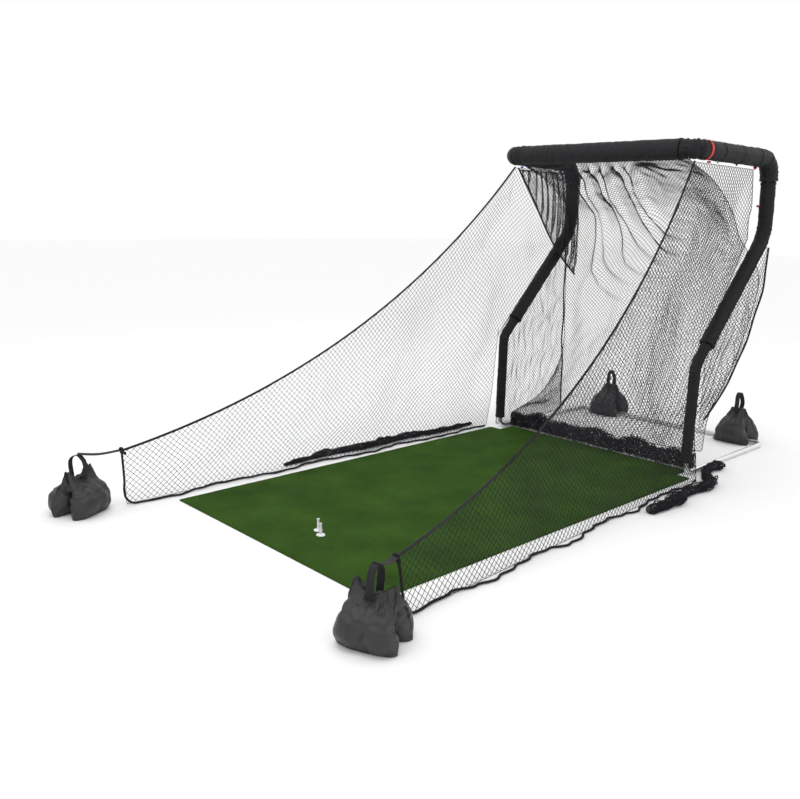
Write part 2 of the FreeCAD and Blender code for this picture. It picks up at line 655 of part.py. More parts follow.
def loop_points(place, span, rise):
    """A loop that stands on the bag's top, given in the bag's own frame."""
    base = size["bag_height"] + size["handle_thick"] / 2 + 0.5
    shape = [(-span / 2, 0), (-span / 2 + 4, 0.45 * rise), (-span * 0.22, rise), (span * 0.22, rise),
             (span / 2 - 4, 0.45 * rise), (span / 2, 0)]
    return [place.multVec(Vector(0, side, base + up)) for side, up in shape]


def make_sandbags():
    slot = size["tube_diameter"] + 2 * size["bag_slot_room"]
    for word, x in (("rear_right", size["rear_bag_offset_right"]),
                    ("rear_left", -size["rear_bag_offset_left"])):
        place = Placement(Vector(x, size["base_depth"], 0), Rotation())
        sandbag(word, place, slot, size["tube_diameter"] + size["bag_slot_room"])
        across = place.Rotation.multVec(Vector(1, 0, 0))
        handle(word, loop_points(place, size["handle_span"], size["handle_rise"]), across)
    for word, side in (("front_right", RIGHT), ("front_left", LEFT)):
        knot = rope_arc(side, 0)[-1]
        gap = 12
        if side == RIGHT:
            centre, angle = Vector(knot.x + 100, knot.y - 205, 0), 22
        else:
            centre, angle = Vector(knot.x - 130, knot.y - 205, 0), -62
        place = Placement(centre, Rotation(Vector(0, 0, 1), angle))
        sandbag(word, place, gap, size["bag_height"] * 0.45)
        across = place.Rotation.multVec(Vector(1, 0, 0))
        handle(word, loop_points(place, size["handle_span"], 0.6 * size["handle_rise"]), across)


# ---------------------------------------------------------------- ties
def band(name, point, direction, radius, width):
    """A narrow band round a pad."""
    start = point - Vector(direction).normalize() * (width / 2)
    outer = document.addObject("Part::Cylinder", name + "_outer")
    outer.Radius, outer.Height = radius + 2.2, width
    outer.Placement = frame_to(start, direction)
    inner = document.addObject("Part::Cylinder", name + "_inner")
    inner.Radius, inner.Height = radius + 0.2, width
    inner.Placement = frame_to(start, direction)
    return cut(name, outer, inner)


def knot_bead(name, point, radius=9):
    item = document.addObject("Part::Sphere", name)
    item.Radius = radius
    item.Placement = Placement(Vector(point), Rotation())
    return item


def make_ties():
    right, left = side_points(RIGHT), side_points(LEFT)
    arm_radius = size["arm_pad_diameter"] / 2
    under = arm_radius + 9.5
    tape_place = toward(right["corner"], right["elbow"], size["corner_bend"] + size["tape_width"] / 2)
    red = [band("red_tape", tape_place, right["elbow"] - right["corner"], arm_radius, size["tape_width"])]
    blue = []
    for name, spot, bucket in (("right", right, red), ("left", left, blue)):
        under_corner = toward(spot["corner"], spot["elbow"], 150) - Vector(0, 0, under)
        under_elbow = toward(spot["elbow"], spot["corner"], 190) - Vector(0, 0, under)
        for index, point in enumerate((under_corner, under_elbow)):
            bucket.append(knot_bead(f"{name}_tie_{index}", point))
        mid = toward(spot["elbow"], spot["shoulder"], 330)
        inward = Vector(-1 if name == "right" else 1, 0, 0)
        bucket.append(knot_bead(f"{name}_tie_2", mid + inward * (size["upper_sleeve_diameter"] / 2 + 9.5)))
    for name, items in (("red_ties", red), ("blue_ties", blue)):
        group = document.addObject("Part::Compound", name + "_group")
        group.Links = items
        finish(group, name)
    cords = []
    for word, spot in (("left", left), ("right", right)):
        direction = spot["corner"] - spot["elbow"]
        for index, distance in enumerate((200, 430, 660)):
            point = toward(spot["elbow"], spot["corner"], distance)
            cords.append(band(f"arm_cord_{word}_{index}", point, direction, arm_radius, 7))
    group = document.addObject("Part::Compound", "arm_tie_group")
    group.Links = cords
    finish(group, "arm_ties")


def write_parts():
    """Check every object, then write one STEP file for each sub-part."""
    document.recompute()
    for item in document.Objects:
        if "Invalid" in item.State or "Error" in item.State:
            raise RuntimeError(f"{item.Name} failed to build: {item.State}")
    os.makedirs("parts", exist_ok=True)
    for item in finished:
        shape = item.Shape
        if shape.isNull() or not shape.isValid() or not shape.Solids:
            raise RuntimeError(f"{item.Label} has no valid solid")
        shape.exportStep(f"parts/{item.Label}.step")
    print(len(finished), "sub-parts written")


make_frame()
make_buttons()
make_padding()
make_rear_net()
make_barriers()
make_side_nets()
make_gathered_net()
make_bundles()
make_mat()
make_tees()
make_sandbags()
make_ties()
write_parts()
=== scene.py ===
"""Golf chipping net: the visible pieces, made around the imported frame.

Axes are the frame's: X to the right as the player faces the net, Y to the back, Z up, in metres.
"""
import math

import bmesh
import bpy
from bpy.props import FloatProperty, FloatVectorProperty, IntProperty, PointerProperty
from mathutils import Matrix, Vector, noise


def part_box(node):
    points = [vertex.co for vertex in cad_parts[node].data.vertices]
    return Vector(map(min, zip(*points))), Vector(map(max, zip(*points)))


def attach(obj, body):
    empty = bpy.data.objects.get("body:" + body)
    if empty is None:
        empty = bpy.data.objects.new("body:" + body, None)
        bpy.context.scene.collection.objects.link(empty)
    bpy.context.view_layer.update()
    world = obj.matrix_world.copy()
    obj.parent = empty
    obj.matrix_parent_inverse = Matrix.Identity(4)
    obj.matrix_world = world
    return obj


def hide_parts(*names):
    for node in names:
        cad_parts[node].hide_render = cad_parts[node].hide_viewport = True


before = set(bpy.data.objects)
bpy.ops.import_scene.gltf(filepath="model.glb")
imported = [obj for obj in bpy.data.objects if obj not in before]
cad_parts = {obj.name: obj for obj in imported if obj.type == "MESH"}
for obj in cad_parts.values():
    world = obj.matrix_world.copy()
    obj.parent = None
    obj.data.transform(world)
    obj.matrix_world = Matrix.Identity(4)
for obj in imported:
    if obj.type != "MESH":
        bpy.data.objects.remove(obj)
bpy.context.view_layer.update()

bl_info = {
    "name": "Golf chipping net",
    "version": (1, 0, 0),
    "blender": (4, 5, 0),
    "location": "View3D > Sidebar > Chipping Net",
    "description": "Netting, padding, ropes, sandbags and turf for a golf chipping net",
    "category": "Add Mesh",
}

LEFT, RIGHT = -1, 1
SIDES = (("left", LEFT), ("right", RIGHT))


# ---------------------------------------------------------------- sizes read from the frame
def node_box(name):
    low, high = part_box(name)
    return Vector(low), Vector(high)


def node_centre(name):
    low, high = node_box(name)
    return (low + high) / 2


bar_low, bar_high = node_box("crossbar_tube")
TUBE_RADIUS = (bar_high.z - bar_low.z) / 2
BAR = node_centre("crossbar_tube")
FRAME_HALF = node_box("leg_tube_right")[1].x - TUBE_RADIUS
BAR_HALF = FRAME_HALF - 0.0825
NET_HALF = node_box("rear_net")[1].x
BAR_PAD = (node_box("crossbar_pad")[1].z - node_box("crossbar_pad")[0].z) / 2
ARM_PAD = node_box("arm_pad_right")[1].x - FRAME_HALF
UPPER_SLEEVE = node_box("upper_sleeve_right")[1].x - FRAME_HALF
LEG_SLEEVE = node_box("leg_sleeve_right")[1].x - FRAME_HALF
SIDE_PLANE = node_centre("side_net_right").x
GATHER_PLANE = node_centre("gathered_net_left").x
ROPE_RADIUS = (node_box("rear_rope_right")[1].x - node_box("rear_rope_right")[0].x) / 2
KINK = Vector((0, 0, 0.792))
SHOULDER = Vector((0, 0.845, 1.672))
ELBOW = Vector((0, 0.8, 2.209))
DEEP, TALL = SHOULDER.y, SHOULDER.z


# ---------------------------------------------------------------- settings
class NetSettings(bpy.types.PropertyGroup):
    """Netting and cord sizes."""

    barrier_bar: FloatProperty(
        name="Barrier mesh", description="Length of one strand of the side barriers", default=0.028,
        unit="LENGTH")
    rear_bar: FloatProperty(
        name="Rear mesh", description="Length of one strand of the rear net", default=0.0215,
        unit="LENGTH")
    barrier_strand: FloatProperty(
        name="Barrier strand", description="Thickness of the barriers' twine", default=0.004,
        unit="LENGTH")
    strand: FloatProperty(
        name="Rear strand", description="Thickness of the rear net's twine", default=0.0048,
        unit="LENGTH")
    thick_strand: FloatProperty(
        name="Crumpled strand", description="Thickness of the twine where the net is bunched up",
        default=0.0045, unit="LENGTH")
    fold_depth: FloatProperty(
        name="Fold depth", description="How far the draped folds stand out from the rear net",
        default=0.045, unit="LENGTH")
    rope_lay: FloatProperty(
        name="Rope lay", description="Length of one turn of the rope's strands", default=0.045,
        unit="LENGTH")


class PadSettings(bpy.types.PropertyGroup):
    """Padding sizes."""

    ring: FloatProperty(
        name="Ring spacing", description="Distance between the rings of a sleeve's mesh",
        default=0.0065, unit="LENGTH")
    around: IntProperty(
        name="Around", description="Points around a sleeve", default=56)
    wrinkle: FloatProperty(
        name="Wrinkle", description="Height of the cloth's wrinkles", default=0.0034, unit="LENGTH")
    seam: FloatProperty(
        name="Seam depth", description="Depth of the sewn seam along a sleeve", default=0.003,
        unit="LENGTH")


class BagSettings(bpy.types.PropertyGroup):
    """Sandbag sizes and cloth behaviour."""

    pressure: FloatProperty(
        name="Filling", description="Pressure of the sand on the cloth", default=3.5)
    slack: FloatProperty(
        name="Slack", description="How much larger the cloth is than the bag's outline",
        default=0.10)
    travel: FloatProperty(
        name="Travel", description="How far filling may move a point of the cloth", default=0.014,
        unit="LENGTH")


class ColourSettings(bpy.types.PropertyGroup):
    """Colours of the finishes."""

    pad: FloatVectorProperty(
        name="Padding", description="Coated nylon of the sleeves", default=(0.0075, 0.0080, 0.0095),
        subtype="COLOR")
    net: FloatVectorProperty(
        name="Netting", description="Dyed twine", default=(0.010, 0.010, 0.014), subtype="COLOR")
    rope: FloatVectorProperty(
        name="Rope", description="Braided border rope", default=(0.011, 0.011, 0.013),
        subtype="COLOR")
    turf: FloatVectorProperty(
        name="Turf", description="Mean colour of the pile", default=(0.040, 0.094, 0.011),
        subtype="COLOR")
    # Turf shade is painted shade: the dark colour laid in the gaps between the tufts.
    turf_gap_shade: FloatVectorProperty(
        name="Turf shade", description="Colour between the tufts", default=(0.014, 0.040, 0.005),
        subtype="COLOR")
    bag: FloatVectorProperty(
        name="Sandbag", description="Coated nylon of the sandbags", default=(0.017, 0.017, 0.019),
        subtype="COLOR")
    red: FloatVectorProperty(
        name="Red tie", description="Ties of the right side", default=(0.62, 0.035, 0.02),
        subtype="COLOR")
    blue: FloatVectorProperty(
        name="Blue tie", description="Ties of the left side", default=(0.01, 0.09, 0.70),
        subtype="COLOR")
    metal: FloatVectorProperty(
        name="Tube", description="Aluminium of the frame", default=(0.80, 0.81, 0.82),
        subtype="COLOR")
    rubber: FloatVectorProperty(
        name="Tee", description="Moulded tee", default=(0.80, 0.81, 0.82), subtype="COLOR")


# ---------------------------------------------------------------- materials
class Field:
    """A value that varies over a surface; Python's operators add Math nodes."""

    def __init__(self, finish, socket):
        self.finish = finish
        self.socket = socket

    def math(self, operation, first, second):
        return self.finish.add("ShaderNodeMath", {"operation": operation}, {0: first, 1: second})

    def __add__(self, other):
        return self.math("ADD", self, other)

    def __radd__(self, other):
        return self.math("ADD", other, self)

    def __sub__(self, other):
        return self.math("SUBTRACT", self, other)

    def __rsub__(self, other):
        return self.math("SUBTRACT", other, self)

    def __mul__(self, other):
        return self.math("MULTIPLY", self, other)

    def __rmul__(self, other):
        return self.math("MULTIPLY", other, self)


class Finish:
    """A material, and the one way that nodes are added to it."""

    def __init__(self, name, roughness=0.5, **constants):
        self.material = bpy.data.materials.new(name)
        self.material.use_nodes = True
        self.tree = self.material.node_tree
        self.shader = self.tree.nodes["Principled BSDF"]
        self.shader.inputs["Roughness"].default_value = roughness
        for socket, value in constants.items():
            self.shader.inputs[socket.replace("_", " ")].default_value = value

    def feed(self, socket, value):
        if isinstance(value, Field):
            self.tree.links.new(value.socket, socket)
        else:
            socket.default_value = value

    def add(self, kind, settings=None, inputs=None, output=0):
        node = self.tree.nodes.new(kind)
        for name, value in (settings or {}).items():
            if name == "stops":
                self.set_stops(node.color_ramp, value)
            else:
                setattr(node, name, value)
        for name, value in (inputs or {}).items():
            self.feed(node.inputs[name], value)
        return Field(self, node.outputs[output])

    @staticmethod
    def set_stops(ramp, stops):
        for element, (place, _) in zip(ramp.elements, stops):
            element.position = place
        for place, _ in stops[2:]:
            ramp.elements.new(place)
        for element, (_, shade) in zip(ramp.elements, sorted(stops)):
            element.color = (shade, shade, shade, 1)

    def place(self, kind="Object", scale=(1, 1, 1)):
        where = self.add("ShaderNodeTexCoord", output=kind)
        return self.add("ShaderNodeMapping", {}, {"Vector": where, "Scale": scale})

    def noise(self, where, scale, detail=2.0, roughness=0.5):
        return self.add("ShaderNodeTexNoise", {}, {"Vector": where, "Scale": scale, "Detail": detail,
                                                   "Roughness": roughness})

    def steps(self, value, *stops):
        return self.add("ShaderNodeValToRGB", {"stops": list(stops)}, {"Fac": value})

    def mix(self, share, first, second):
        first, second = (tuple(c) + (1,) * (4 - len(c)) if not isinstance(c, Field) else c
                         for c in (first, second))
        return self.add("ShaderNodeMix", {"data_type": "RGBA"}, {0: share, 6: first, 7: second}, 2)

    def weave(self, where, scale):
        """Two crossed sets of threads."""
        warp, weft = (self.add("ShaderNodeTexWave", {"bands_direction": axis},
                               {"Vector": where, "Scale": scale, "Distortion": 0.2})
                      for axis in "XY")
        return warp * weft

    def bump(self, height, distance, strength=1.0):
        return self.add("ShaderNodeBump", {}, {"Height": height, "Distance": distance,
                                               "Strength": strength})

    def cover(self, **sockets):
        for name, value in sockets.items():
            self.feed(self.shader.inputs[name.replace("_", " ")], value)
        return self.material


def shade(colour, share):
    """A colour made lighter or darker by a share."""
    return tuple(channel * share for channel in colour)


def cloth_finish(name, colour, roughness, crease, gloss=0.25, sheen=0.0, thread=900.0):
    """Coated woven cloth: a fine weave, soft creases and slightly worn high places."""
    finish = Finish(name, Sheen_Weight=sheen, Specular_IOR_Level=gloss)
    where = finish.place()
    worn = finish.noise(where, 9.0, 4.0, 0.6)
    streak = finish.noise(finish.place(scale=(1, 1, 0.25)), 38.0, 5.0, 0.62)
    weave = finish.weave(finish.place(), thread / math.tau)
    tone = finish.mix(finish.steps(worn, (0.35, 0.0), (0.7, 1.0)), shade(colour, 0.75),
                      shade(colour, 1.45))
    relief = streak * crease + weave * 0.1
    return finish.cover(Base_Color=tone, Roughness=worn * 0.25 + (roughness - 0.12),
                        Normal=finish.bump(relief, 0.004, 0.8))


def twine_finish(name, colour, roughness=0.75):
    """Dyed twine or braid, lighter where its fibres catch the light."""
    finish = Finish(name, Specular_IOR_Level=0.35)
    where = finish.place()
    fibres = finish.noise(where, 420.0, 3.0)
    patches = finish.noise(where, 6.0, 2.0)
    tone = finish.mix(finish.steps(patches * 0.5 + fibres * 0.5, (0.35, 0.0), (0.65, 1.0)),
                      shade(colour, 0.6), shade(colour, 1.9))
    return finish.cover(Base_Color=tone, Roughness=fibres * 0.2 + (roughness - 0.1),
                        Normal=finish.bump(fibres, 0.0008, 0.7))


def metal_finish(name, colour, roughness):
    """Drawn aluminium or steel: fine marks and cloudy patches."""
    finish = Finish(name, Metallic=1.0)
    where = finish.place()
    marks = finish.noise(finish.place(), 700.0, 4.0, 0.7)
    clouds = finish.noise(where, 14.0, 3.0)
    tone = finish.mix(clouds, shade(colour, 0.86), colour)
    return finish.cover(Base_Color=tone, Roughness=clouds * 0.14 + marks * 0.08 + (roughness - 0.1),
                        Normal=finish.bump(marks, 0.0002, 0.4))


def turf_finish(name, colour, gap_shade):
    """Short knitted pile: tufts in rows, with painted light on the tuft tops and painted shade in the gaps
    between them, brushed patches and a little straw thatch.
    """
    finish = Finish(name, Specular_IOR_Level=0.06)
    where = finish.place()
    tufts = finish.add("ShaderNodeTexVoronoi", {}, {"Vector": where, "Scale": 210.0}, "Distance")
    blades = finish.noise(where, 520.0, 3.0, 0.7)
    patches = finish.noise(where, 3.2, 4.0, 0.55)
    thatch = finish.noise(where, 75.0, 3.0, 0.6)
    # Painted light and shade: the tuft tops are painted lighter than the mean colour, and the gaps between
    # the tufts are painted in the turf shade colour.
    base = finish.mix(finish.steps(tufts + blades * 0.5, (0.35, 1.0), (0.95, 0.0)), gap_shade,
                      shade(colour, 1.35))
    brushed = finish.mix(finish.steps(patches, (0.3, 0.0), (0.75, 1.0)), base, shade(colour, 1.25))
    straw = finish.steps(thatch, (0.60, 0.0), (0.74, 1.0)) * 0.35
    tone = finish.mix(straw, brushed, (colour[0] * 2.6, colour[1] * 1.35, colour[2] * 1.6))
    relief = blades * 0.6 + (1 - tufts) * 0.6
    return finish.cover(Base_Color=tone, Roughness=blades * 0.2 + 0.72,
                        Normal=finish.bump(relief, 0.006, 1.0))


def moulded_finish(name, colour, roughness):
    """Moulded rubber with a fine grain and scuffs."""
    finish = Finish(name)
    where = finish.place()
    grain = finish.noise(where, 900.0, 2.0)
    scuffs = finish.noise(where, 60.0, 4.0, 0.65)
    tone = finish.mix(finish.steps(scuffs, (0.55, 0.0), (0.8, 1.0)), colour, shade(colour, 0.7))
    return finish.cover(Base_Color=tone, Roughness=scuffs * 0.2 + (roughness - 0.1),
                        Normal=finish.bump(grain, 0.0003, 0.6))


def webbing_finish(name, colour):
    """Ribbed webbing, its ribs along the strap's own length."""
    finish = Finish(name, Specular_IOR_Level=0.4)
    along = finish.place("UV")
    ribs = finish.weave(along, 260.0)
    wear = finish.noise(finish.place(), 40.0, 3.0)
    tone = finish.mix(wear, shade(colour, 0.7), shade(colour, 1.6))
    return finish.cover(Base_Color=tone, Roughness=wear * 0.2 + 0.6,
                        Normal=finish.bump(ribs, 0.0015, 0.8))


MATERIALS = {}


def make_materials(colours):
    """Every finish, by the name that the operators use."""
    MATERIALS.update(
        pad=cloth_finish("pad_cloth", colours.pad, 0.58, 0.55),
        sleeve=cloth_finish("sleeve_cloth", shade(colours.pad, 0.92), 0.62, 0.8),
        bag=cloth_finish("bag_nylon", colours.bag, 0.42, 0.5, gloss=0.5),
        net=twine_finish("net_twine", colours.net),
        rope=twine_finish("rope_braid", colours.rope, 0.8),
        webbing=webbing_finish("bag_webbing", colours.rope),
        red=twine_finish("red_tape", shade(colours.red, 0.8), 0.6),
        blue=twine_finish("blue_tape", shade(colours.blue, 0.8), 0.6),
        tube=metal_finish("tube_aluminium", colours.metal, 0.34),
        steel=metal_finish("button_steel_face", shade(colours.metal, 0.8), 0.3),
        turf=turf_finish("turf_pile", colours.turf, colours.turf_gap_shade),
        rubber=moulded_finish("tee_rubber_face", colours.rubber, 0.5),
    )


# ---------------------------------------------------------------- making meshes
def add_object(name, data, material, body="root"):
    """Link a piece at the origin, give it its finish and let it ride on a body."""
    piece = bpy.data.objects.new(name, data)
    bpy.context.collection.objects.link(piece)
    data.materials.clear()
    data.materials.append(MATERIALS[material])
    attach(piece, body)
    return piece


def add_mesh(name, bm, material, body="root", outward=True):
    """Turn a finished bmesh into a piece."""
    if outward:
        bmesh.ops.recalc_face_normals(bm, faces=bm.faces)
    mesh = bpy.data.meshes.new(name)
    bm.to_mesh(mesh)
    bm.free()
    mesh.polygons.foreach_set("use_smooth", [True] * len(mesh.polygons))
    return add_object(name, mesh, material, body)


def mapped_grid(columns, rows, place, uv_scale=(1, 1)):
    """A grid laid on a surface given by a function of two shares from 0 to 1."""
    bm = bmesh.new()
    layer = bm.loops.layers.uv.new("UVMap")
    bmesh.ops.create_grid(bm, x_segments=columns, y_segments=rows, size=0.5, calc_uvs=True)
    for face in bm.faces:
        for loop in face.loops:
            loop[layer].uv = (loop[layer].uv.x * uv_scale[0], loop[layer].uv.y * uv_scale[1])
    for vert in bm.verts:
        vert.co = place(vert.co.x + 0.5, vert.co.y + 0.5)
    return bm


def mend_seam(bm, distance=1e-5):
    """Close a grid whose edges meet."""
    bmesh.ops.remove_doubles(bm, verts=bm.verts, dist=distance)
    return bm


def smooth_step(low, high, value):
    share = min(max((value - low) / (high - low), 0.0), 1.0)
    return share * share * (3 - 2 * share)


def smooth_curve(points, count):
    """Points evenly spaced along a smooth line through a few points."""
    ends = [points[0] * 2 - points[1], *points, points[-1] * 2 - points[-2]]
    dense = []
    for first, second, third, fourth in zip(ends, ends[1:], ends[2:], ends[3:]):
        for step in range(16):
            share = step / 16
            dense.append(0.5 * (2 * second + (third - first) * share
                                + (2 * first - 5 * second + 4 * third - fourth) * share ** 2
                                + (3 * second - first - 3 * third + fourth) * share ** 3))
    dense.append(points[-1].copy())
    return even_points(dense, count)


def even_points(line, count):
    """The same line with its points evenly spaced."""
    reach = [0.0]
    for before, after in zip(line, line[1:]):
        reach.append(reach[-1] + (after - before).length)
    spaced, index = [], 0
    for step in range(count):
        goal = reach[-1] * step / (count - 1)
        while index < len(line) - 2 and reach[index + 1] < goal:
            index += 1
        span = reach[index + 1] - reach[index]
        spaced.append(line[index].lerp(line[index + 1], (goal - reach[index]) / span if span else 0))
    return spaced


def line_length(line):
    return sum((after - before).length for before, after in zip(line, line[1:]))


def rounded_line(corners, radii, spacing):
    """Straight runs joined by arcs, as evenly spaced points."""
    dense = [corners[0]]
    for index, radius in enumerate(radii, start=1):
        here = corners[index]
        back = (corners[index - 1] - here).normalized()
        ahead = (corners[index + 1] - here).normalized()
        half = back.angle(ahead) / 2
        reach = radius / math.tan(half)
        middle = here + (back + ahead).normalized() * (radius / math.sin(half))
        begin, end = here + back * reach, here + ahead * reach
        for step in range(13):
            arm = (begin - middle).lerp(end - middle, step / 12)
            dense.append(middle + arm.normalized() * radius)
    dense.append(corners[-1])
    return even_points(dense, max(3, round(line_length(dense) / spacing) + 1))


def line_frames(line, side):
    """For each point of a line: the point, its direction and two directions across it."""
    frames, across = [], Vector(side)
    for index, point in enumerate(line):
        ahead = (line[min(index + 1, len(line) - 1)] - line[max(index - 1, 0)]).normalized()
        across = (across - ahead * across.dot(ahead)).normalized()
        frames.append((point, ahead, across, ahead.cross(across)))
    return frames


# ---------------------------------------------------------------- ropes
def laid_rope(name, points, radius, lay, body="root", material="rope", closed_ends=True):
    """Three strands twisted together along a smooth line: a turning trefoil swept along it."""
    count = max(4, round(line_length(points) / lay * 7))
    route = smooth_curve(points, count)
    profile = bpy.data.curves.new(name + "_profile", "CURVE")
    outline = profile.splines.new("POLY")
    outline.points.add(11)
    for index, point in enumerate(outline.points):
        angle = math.tau * index / 12
        lobe = radius * (0.88 + 0.12 * math.cos(3 * angle))
        point.co = (lobe * math.cos(angle), lobe * math.sin(angle), 0, 1)
    outline.use_cyclic_u = True
    section = bpy.data.objects.new(name + "_profile", profile)
    bpy.context.collection.objects.link(section)
    curve = bpy.data.curves.new(name + "_line", "CURVE")
    curve.dimensions = "3D"
    spline = curve.splines.new("POLY")
    spline.points.add(count - 1)
    twist = math.tau * line_length(route) / lay / (count - 1)
    for index, (point, place) in enumerate(zip(spline.points, route)):
        point.co = (*place, 1)
        point.tilt = twist * index
    curve.bevel_mode = "OBJECT"
    curve.bevel_object = section
    curve.use_fill_caps = closed_ends
    line = bpy.data.objects.new(name + "_line", curve)
    bpy.context.collection.objects.link(line)
    bpy.context.view_layer.update()
    mesh = bpy.data.meshes.new_from_object(line.evaluated_get(bpy.context.evaluated_depsgraph_get()))
    for helper in (line, section):
        bpy.data.objects.remove(helper)
    bm = bmesh.new()
    bm.from_mesh(mesh)
    bpy.data.meshes.remove(mesh)
    mend_seam(bm)
    return add_mesh(name, bm, material, body)


class Barrier:
    """The leaning plane of one side barrier, and the arc of its top rope."""

    LEAN = 0.0745
    SAG = {LEFT: 0.307, RIGHT: 0.318}

    def __init__(self, word, side):
        low, high = node_box("barrier_rope_" + word)
        radius = ROPE_RADIUS
        self.side = side
        self.start = Vector((high.y - radius, high.z - radius * 0.9))
        self.end = Vector((low.y + radius, low.z + radius * 0.9))
        ends = sorted((abs(low.x), abs(high.x)))
        near, far = ends[0] + radius, ends[1] - radius
        drop = self.LEAN * (self.end.y - self.start.y)
        self.flare = (far - near + drop) / (self.start.x - self.end.x)
        self.base = near + self.flare * self.start.x + self.LEAN * self.start.y
        middle = (self.start + self.end) / 2
        chord = self.end - self.start
        sag = self.SAG[side]
        down = Vector((chord.y, -chord.x)).normalized()
        if down.y > 0:
            down = -down
        self.radius = (chord.length ** 2 / 4 + sag ** 2) / (2 * sag)
        self.centre = middle - down * (self.radius - sag)

    def x(self, y, z):
        return self.side * (self.base - self.flare * y - self.LEAN * z)

    def at(self, y, z, out=0.0):
        return Vector((self.x(y, z) + self.side * out, y, z))

    def rope_points(self, count):
        first = (self.start - self.centre).normalized()
        last = (self.end - self.centre).normalized()
        points = []
        for step in range(count):
            arm = first.lerp(last, step / (count - 1)).normalized() * self.radius
            place = self.centre + arm
            points.append(self.at(place.x, place.y))
        return points

    def below_rope(self, y, z):
        return (Vector((y, z)) - self.centre).length - self.radius - ROPE_RADIUS * 0.5

    def knot(self):
        return self.at(self.end.x, self.end.y)


def border_points(barrier):
    """Down the barrier's front edge, then back along the floor in loose curves to the foot."""
    knot, side = barrier.knot(), barrier.side
    front = barrier.end.x + 0.04
    rest = ROPE_RADIUS + 0.001
    wander = (-0.022, 0.028, -0.016, 0.030, -0.026, 0.018, -0.020, 0.014)
    points = [knot + Vector((side * 0.014, 0.006, -0.02)),
              Vector((knot.x + side * 0.024, front - 0.022, 0.5 * knot.z)),
              Vector((barrier.x(front, 0) + side * 0.018, front - 0.012, 0.2 * knot.z)),
              Vector((barrier.x(front, 0) + side * 0.022, front + 0.05, rest))]
    span = -front - 0.18
    for index, offset in enumerate(wander):
        y = front + 0.12 + span * (index + 0.5) / len(wander)
        points.append(Vector((barrier.x(y, 0) + side * (0.026 + offset), y, rest)))
    points.append(Vector((barrier.x(-0.06, 0) + side * 0.026, -0.06, rest)))
    loose = smooth_curve(points, 60)
    for index, point in enumerate(loose):
        point.z = max(point.z, rest)
        if 8 <= index < len(loose) - 2:
            point.x += side * (0.009 * math.sin(index * 2.1) + 0.006 * math.sin(index * 0.9 + 1))
    return loose


REAR_ROPE = {
    RIGHT: ((0.95, 0.95), (0.955, 0.86), (0.93, 0.76), (0.84, 0.66), (0.73, 0.55), (0.60, 0.46),
            (0.45, 0.375), (0.28, 0.30), (0.10, 0.245)),
    LEFT: ((0.99, 0.95), (1.045, 0.82), (1.03, 0.68), (1.07, 0.54), (1.05, 0.41), (1.10, 0.28),
           (1.09, 0.16), (1.12, 0.05)),
}
GATHER_ROPE = ((0.24, 0.87), (0.47, 0.76), (0.69, 0.675), (0.95, 0.60))
ARM_UNDERSIDE = BAR.z - ARM_PAD - 0.024


def rear_rope_points(side):
    points = [Vector((side * SIDE_PLANE, y * DEEP, z * TALL)) for y, z in REAR_ROPE[side]]
    return [point + Vector((0, 0.006 * (-1) ** index, 0)) for index, point in enumerate(points)]


def gather_rope_points():
    points = [Vector((GATHER_PLANE, -0.04, ARM_UNDERSIDE))]
    points += [Vector((GATHER_PLANE, y * DEEP, z * ARM_UNDERSIDE)) for y, z in GATHER_ROPE]
    return points


class CHIPNET_OT_ropes(bpy.types.Operator):
    """Make the ropes that hem the nets"""

    bl_idname = "chip_net.ropes"
    bl_label = "Ropes"

    def execute(self, context):
        lay = context.scene.chip_net.rope_lay
        for word, side in SIDES:
            barrier = Barrier(word, side)
            top = laid_rope("barrier_top_rope_" + word, barrier.rope_points(24), ROPE_RADIUS, lay)
            border = laid_rope("barrier_floor_rope_" + word, border_points(barrier), ROPE_RADIUS, lay)
            rear = laid_rope("rear_hem_rope_" + word, rear_rope_points(side), ROPE_RADIUS, lay)
            for piece, node in ((top, "barrier_rope_"), (border, "border_rope_"), (rear, "rear_rope_")):
                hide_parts(node + word)
        gather = laid_rope("gather_hem_rope", gather_rope_points(), ROPE_RADIUS, lay)
        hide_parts("gather_rope_left")
        return {"FINISHED"}


# ---------------------------------------------------------------- netting
def net_piece(name, nodes, bar, low, high, inside, place, strand, area_share,
              sheet=True):
    """Knotless netting: square mesh on its points, cut to an outline and laid on a surface."""
    middle = Vector(((low[0] + high[0]) / 2, (low[1] + high[1]) / 2, 0))
    span = ((high[0] - low[0]) + (high[1] - low[1])) / math.sqrt(2)
    count = math.ceil(span / bar)
    bm = bmesh.new()
    bmesh.ops.create_grid(bm, x_segments=count, y_segments=count, size=count * bar / 2,
                          matrix=Matrix.Translation(middle) @ Matrix.Rotation(math.pi / 4, 4, "Z"))
    trim_net(bm, inside)
    for vert in bm.verts:
        vert.co = place(vert.co.x, vert.co.y)
    piece = add_mesh(name, bm, "net", outward=False)
    twine = piece.modifiers.new("Twine", "WIREFRAME")
    twine.thickness = strand
    twine.use_even_offset = False
    twine.use_boundary = True
    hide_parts(*nodes)
    flat = (high[0] - low[0], high[1] - low[1])
    if sheet:
        flat[0] * flat[1] * area_share
    return piece


def trim_net(bm, inside):
    """Take away the cells outside the outline, and end the strands that cross it on it."""
    kept = {vert for vert in bm.verts if inside(vert.co.x, vert.co.y) > 0}
    outer = [face for face in bm.faces if not any(vert in kept for vert in face.verts)]
    bmesh.ops.delete(bm, geom=outer, context="FACES")
    bmesh.ops.delete(bm, geom=[vert for vert in bm.verts if not vert.link_faces], context="VERTS")
    for vert in bm.verts:
        if vert in kept:
            continue
        inner = next(other for face in vert.link_faces for other in face.verts if other in kept)
        near, far = inner.co.copy(), vert.co.copy()
        for _ in range(10):
            middle = (near + far) / 2
            if inside(middle.x, middle.y) > 0:
                near = middle
            else:
                far = middle
        vert.co = near
    return bm


def ripple(place, size, height, seed=0.0):
    """A smooth random height for a place on a sheet."""
    return noise.noise(Vector((place[0] / size, place[1] / size, seed))) * height


